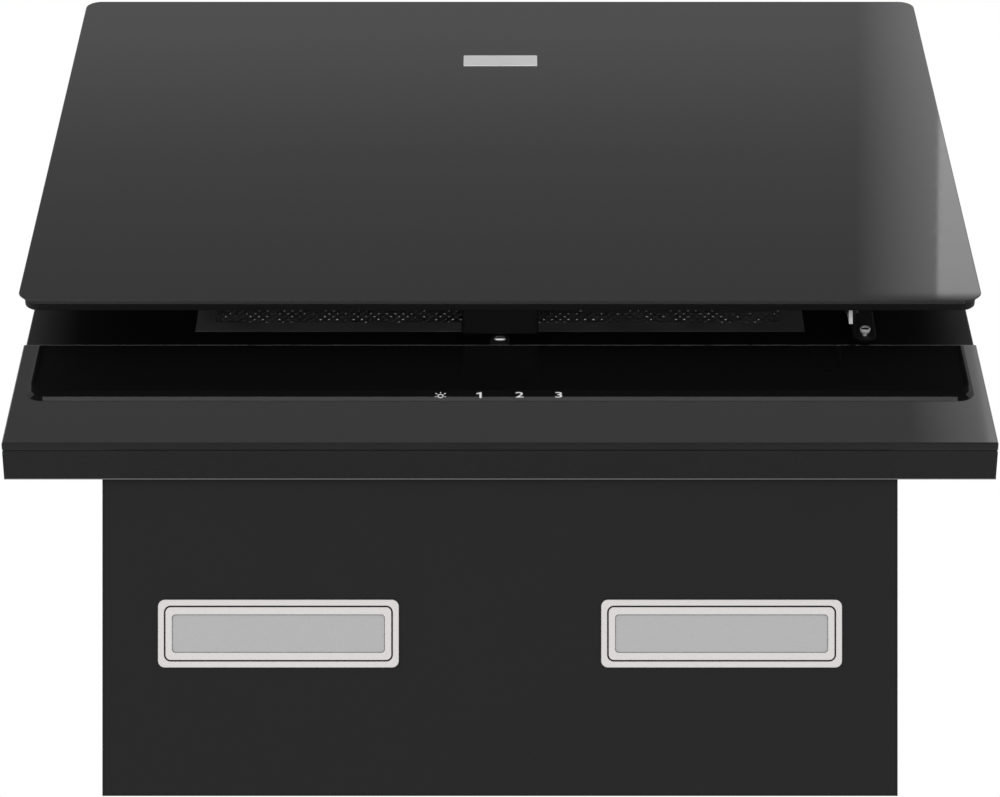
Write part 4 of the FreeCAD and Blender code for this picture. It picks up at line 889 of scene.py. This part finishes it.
def side_glow(name, low, high, levels, lean=0.0, fade=0.0):
    """Extra light for gloss, between two heights in degrees seen from the hood; its levels are given by x."""
    left, right = levels[0][0], levels[-1][0]
    width = right - left
    stops = [(min(1, (x - left) / width + lean), level / SIDE_LIGHT) for x, level in levels]
    rise = math.radians((low + high) / 2)
    outwards = Vector((0, -math.cos(rise), math.sin(rise)))
    reach = REACH - SIDE_STEP
    height = 2 * reach * math.tan(math.radians((high - low) / 2))
    centre = FRONT + outwards * reach + Vector(((left + right) / 2, 0, 0))
    light = glow(f"{name}_light", SIDE_LIGHT, "X", stops, True, lean, fade)
    reflection_only(stage_plane(name, centre, centre - outwards, width, height, light))


HIGH_LEVELS = [(0.765, 0.0), (0.9375, 0.8), (0.9445, 2.1), (1.7, 1.9)]
LOW_LEVELS = [(0.855, 0.0), (1.0, 0.6), (1.013, 0.75), (1.024, 1.4), (1.7, 2.0)]
side_glow("right_softbox", 30.8, 39.0, HIGH_LEVELS, fade=0.011)
side_glow("low_softbox", 26.5, 30.5, LOW_LEVELS, lean=0.077)

# World: white where the camera, gloss and glass see it, and the light that it gives
SEEN_LEVEL = 1.0
LIT_LEVEL = 1.0
WHITE = (1, 1, 1, 1)
world = bpy.data.worlds.new("studio")
bpy.context.scene.world = world
world.use_nodes = True
world.node_tree.nodes.clear()
sky = Graph(world.node_tree)
path = sky.add("ShaderNodeLightPath").outputs
straight = sky.add("ShaderNodeMath", {0: path["Is Camera Ray"], 1: path["Is Glossy Ray"]}, operation="ADD")
rays = {0: straight.outputs["Value"], 1: path["Is Transmission Ray"]}
any_seen = sky.add("ShaderNodeMath", rays, operation="ADD", use_clamp=True)
lit = sky.add("ShaderNodeBackground", {"Color": WHITE, "Strength": LIT_LEVEL})
seen = sky.add("ShaderNodeBackground", {"Color": WHITE, "Strength": SEEN_LEVEL})
both = {"Fac": any_seen.outputs["Value"], 1: lit.outputs["Background"], 2: seen.outputs["Background"]}
sky.add("ShaderNodeOutputWorld", {"Surface": sky.add("ShaderNodeMixShader", both).outputs["Shader"]})


def soft_lamp(name, place, power, size, mirrored=True):
    """A large soft lamp that points at the hood, and may leave no mirror image in glass and metal."""
    lamp = bpy.data.lights.new(name, "AREA")
    lamp.energy = power
    lamp.size = size
    lamp_object = bpy.data.objects.new(name, lamp)
    lamp_object.location = place
    lamp_object.rotation_mode = "QUATERNION"
    lamp_object.rotation_quaternion = (FRONT - Vector(place)).to_track_quat("-Z", "Y")
    lamp_object.visible_camera = False
    lamp_object.visible_glossy = mirrored
    bpy.context.scene.collection.objects.link(lamp_object)


soft_lamp("key", (-1.6, -2.4, -1.4), 24, 2.5)
soft_lamp("top_lamp", (2.4, -1.2, 2.7), 110, 2.2, mirrored=False)
soft_lamp("back_lamp", (-2.2, 2.6, 1.7), 70, 2.2, mirrored=False)

# Camera straight below, as far off as the picture's perspective shows
camera = bpy.data.cameras.new("camera")
camera.sensor_width = 36
camera.lens = 133.5
camera.clip_end = 100
camera_object = bpy.data.objects.new("camera", camera)
camera_object.location = (0, -0.1999, -1.8651)
camera_object.rotation_euler = (math.pi, 0, 0)
bpy.context.scene.collection.objects.link(camera_object)
bpy.context.scene.camera = camera_object
bpy.context.scene.view_settings.view_transform = "Standard"
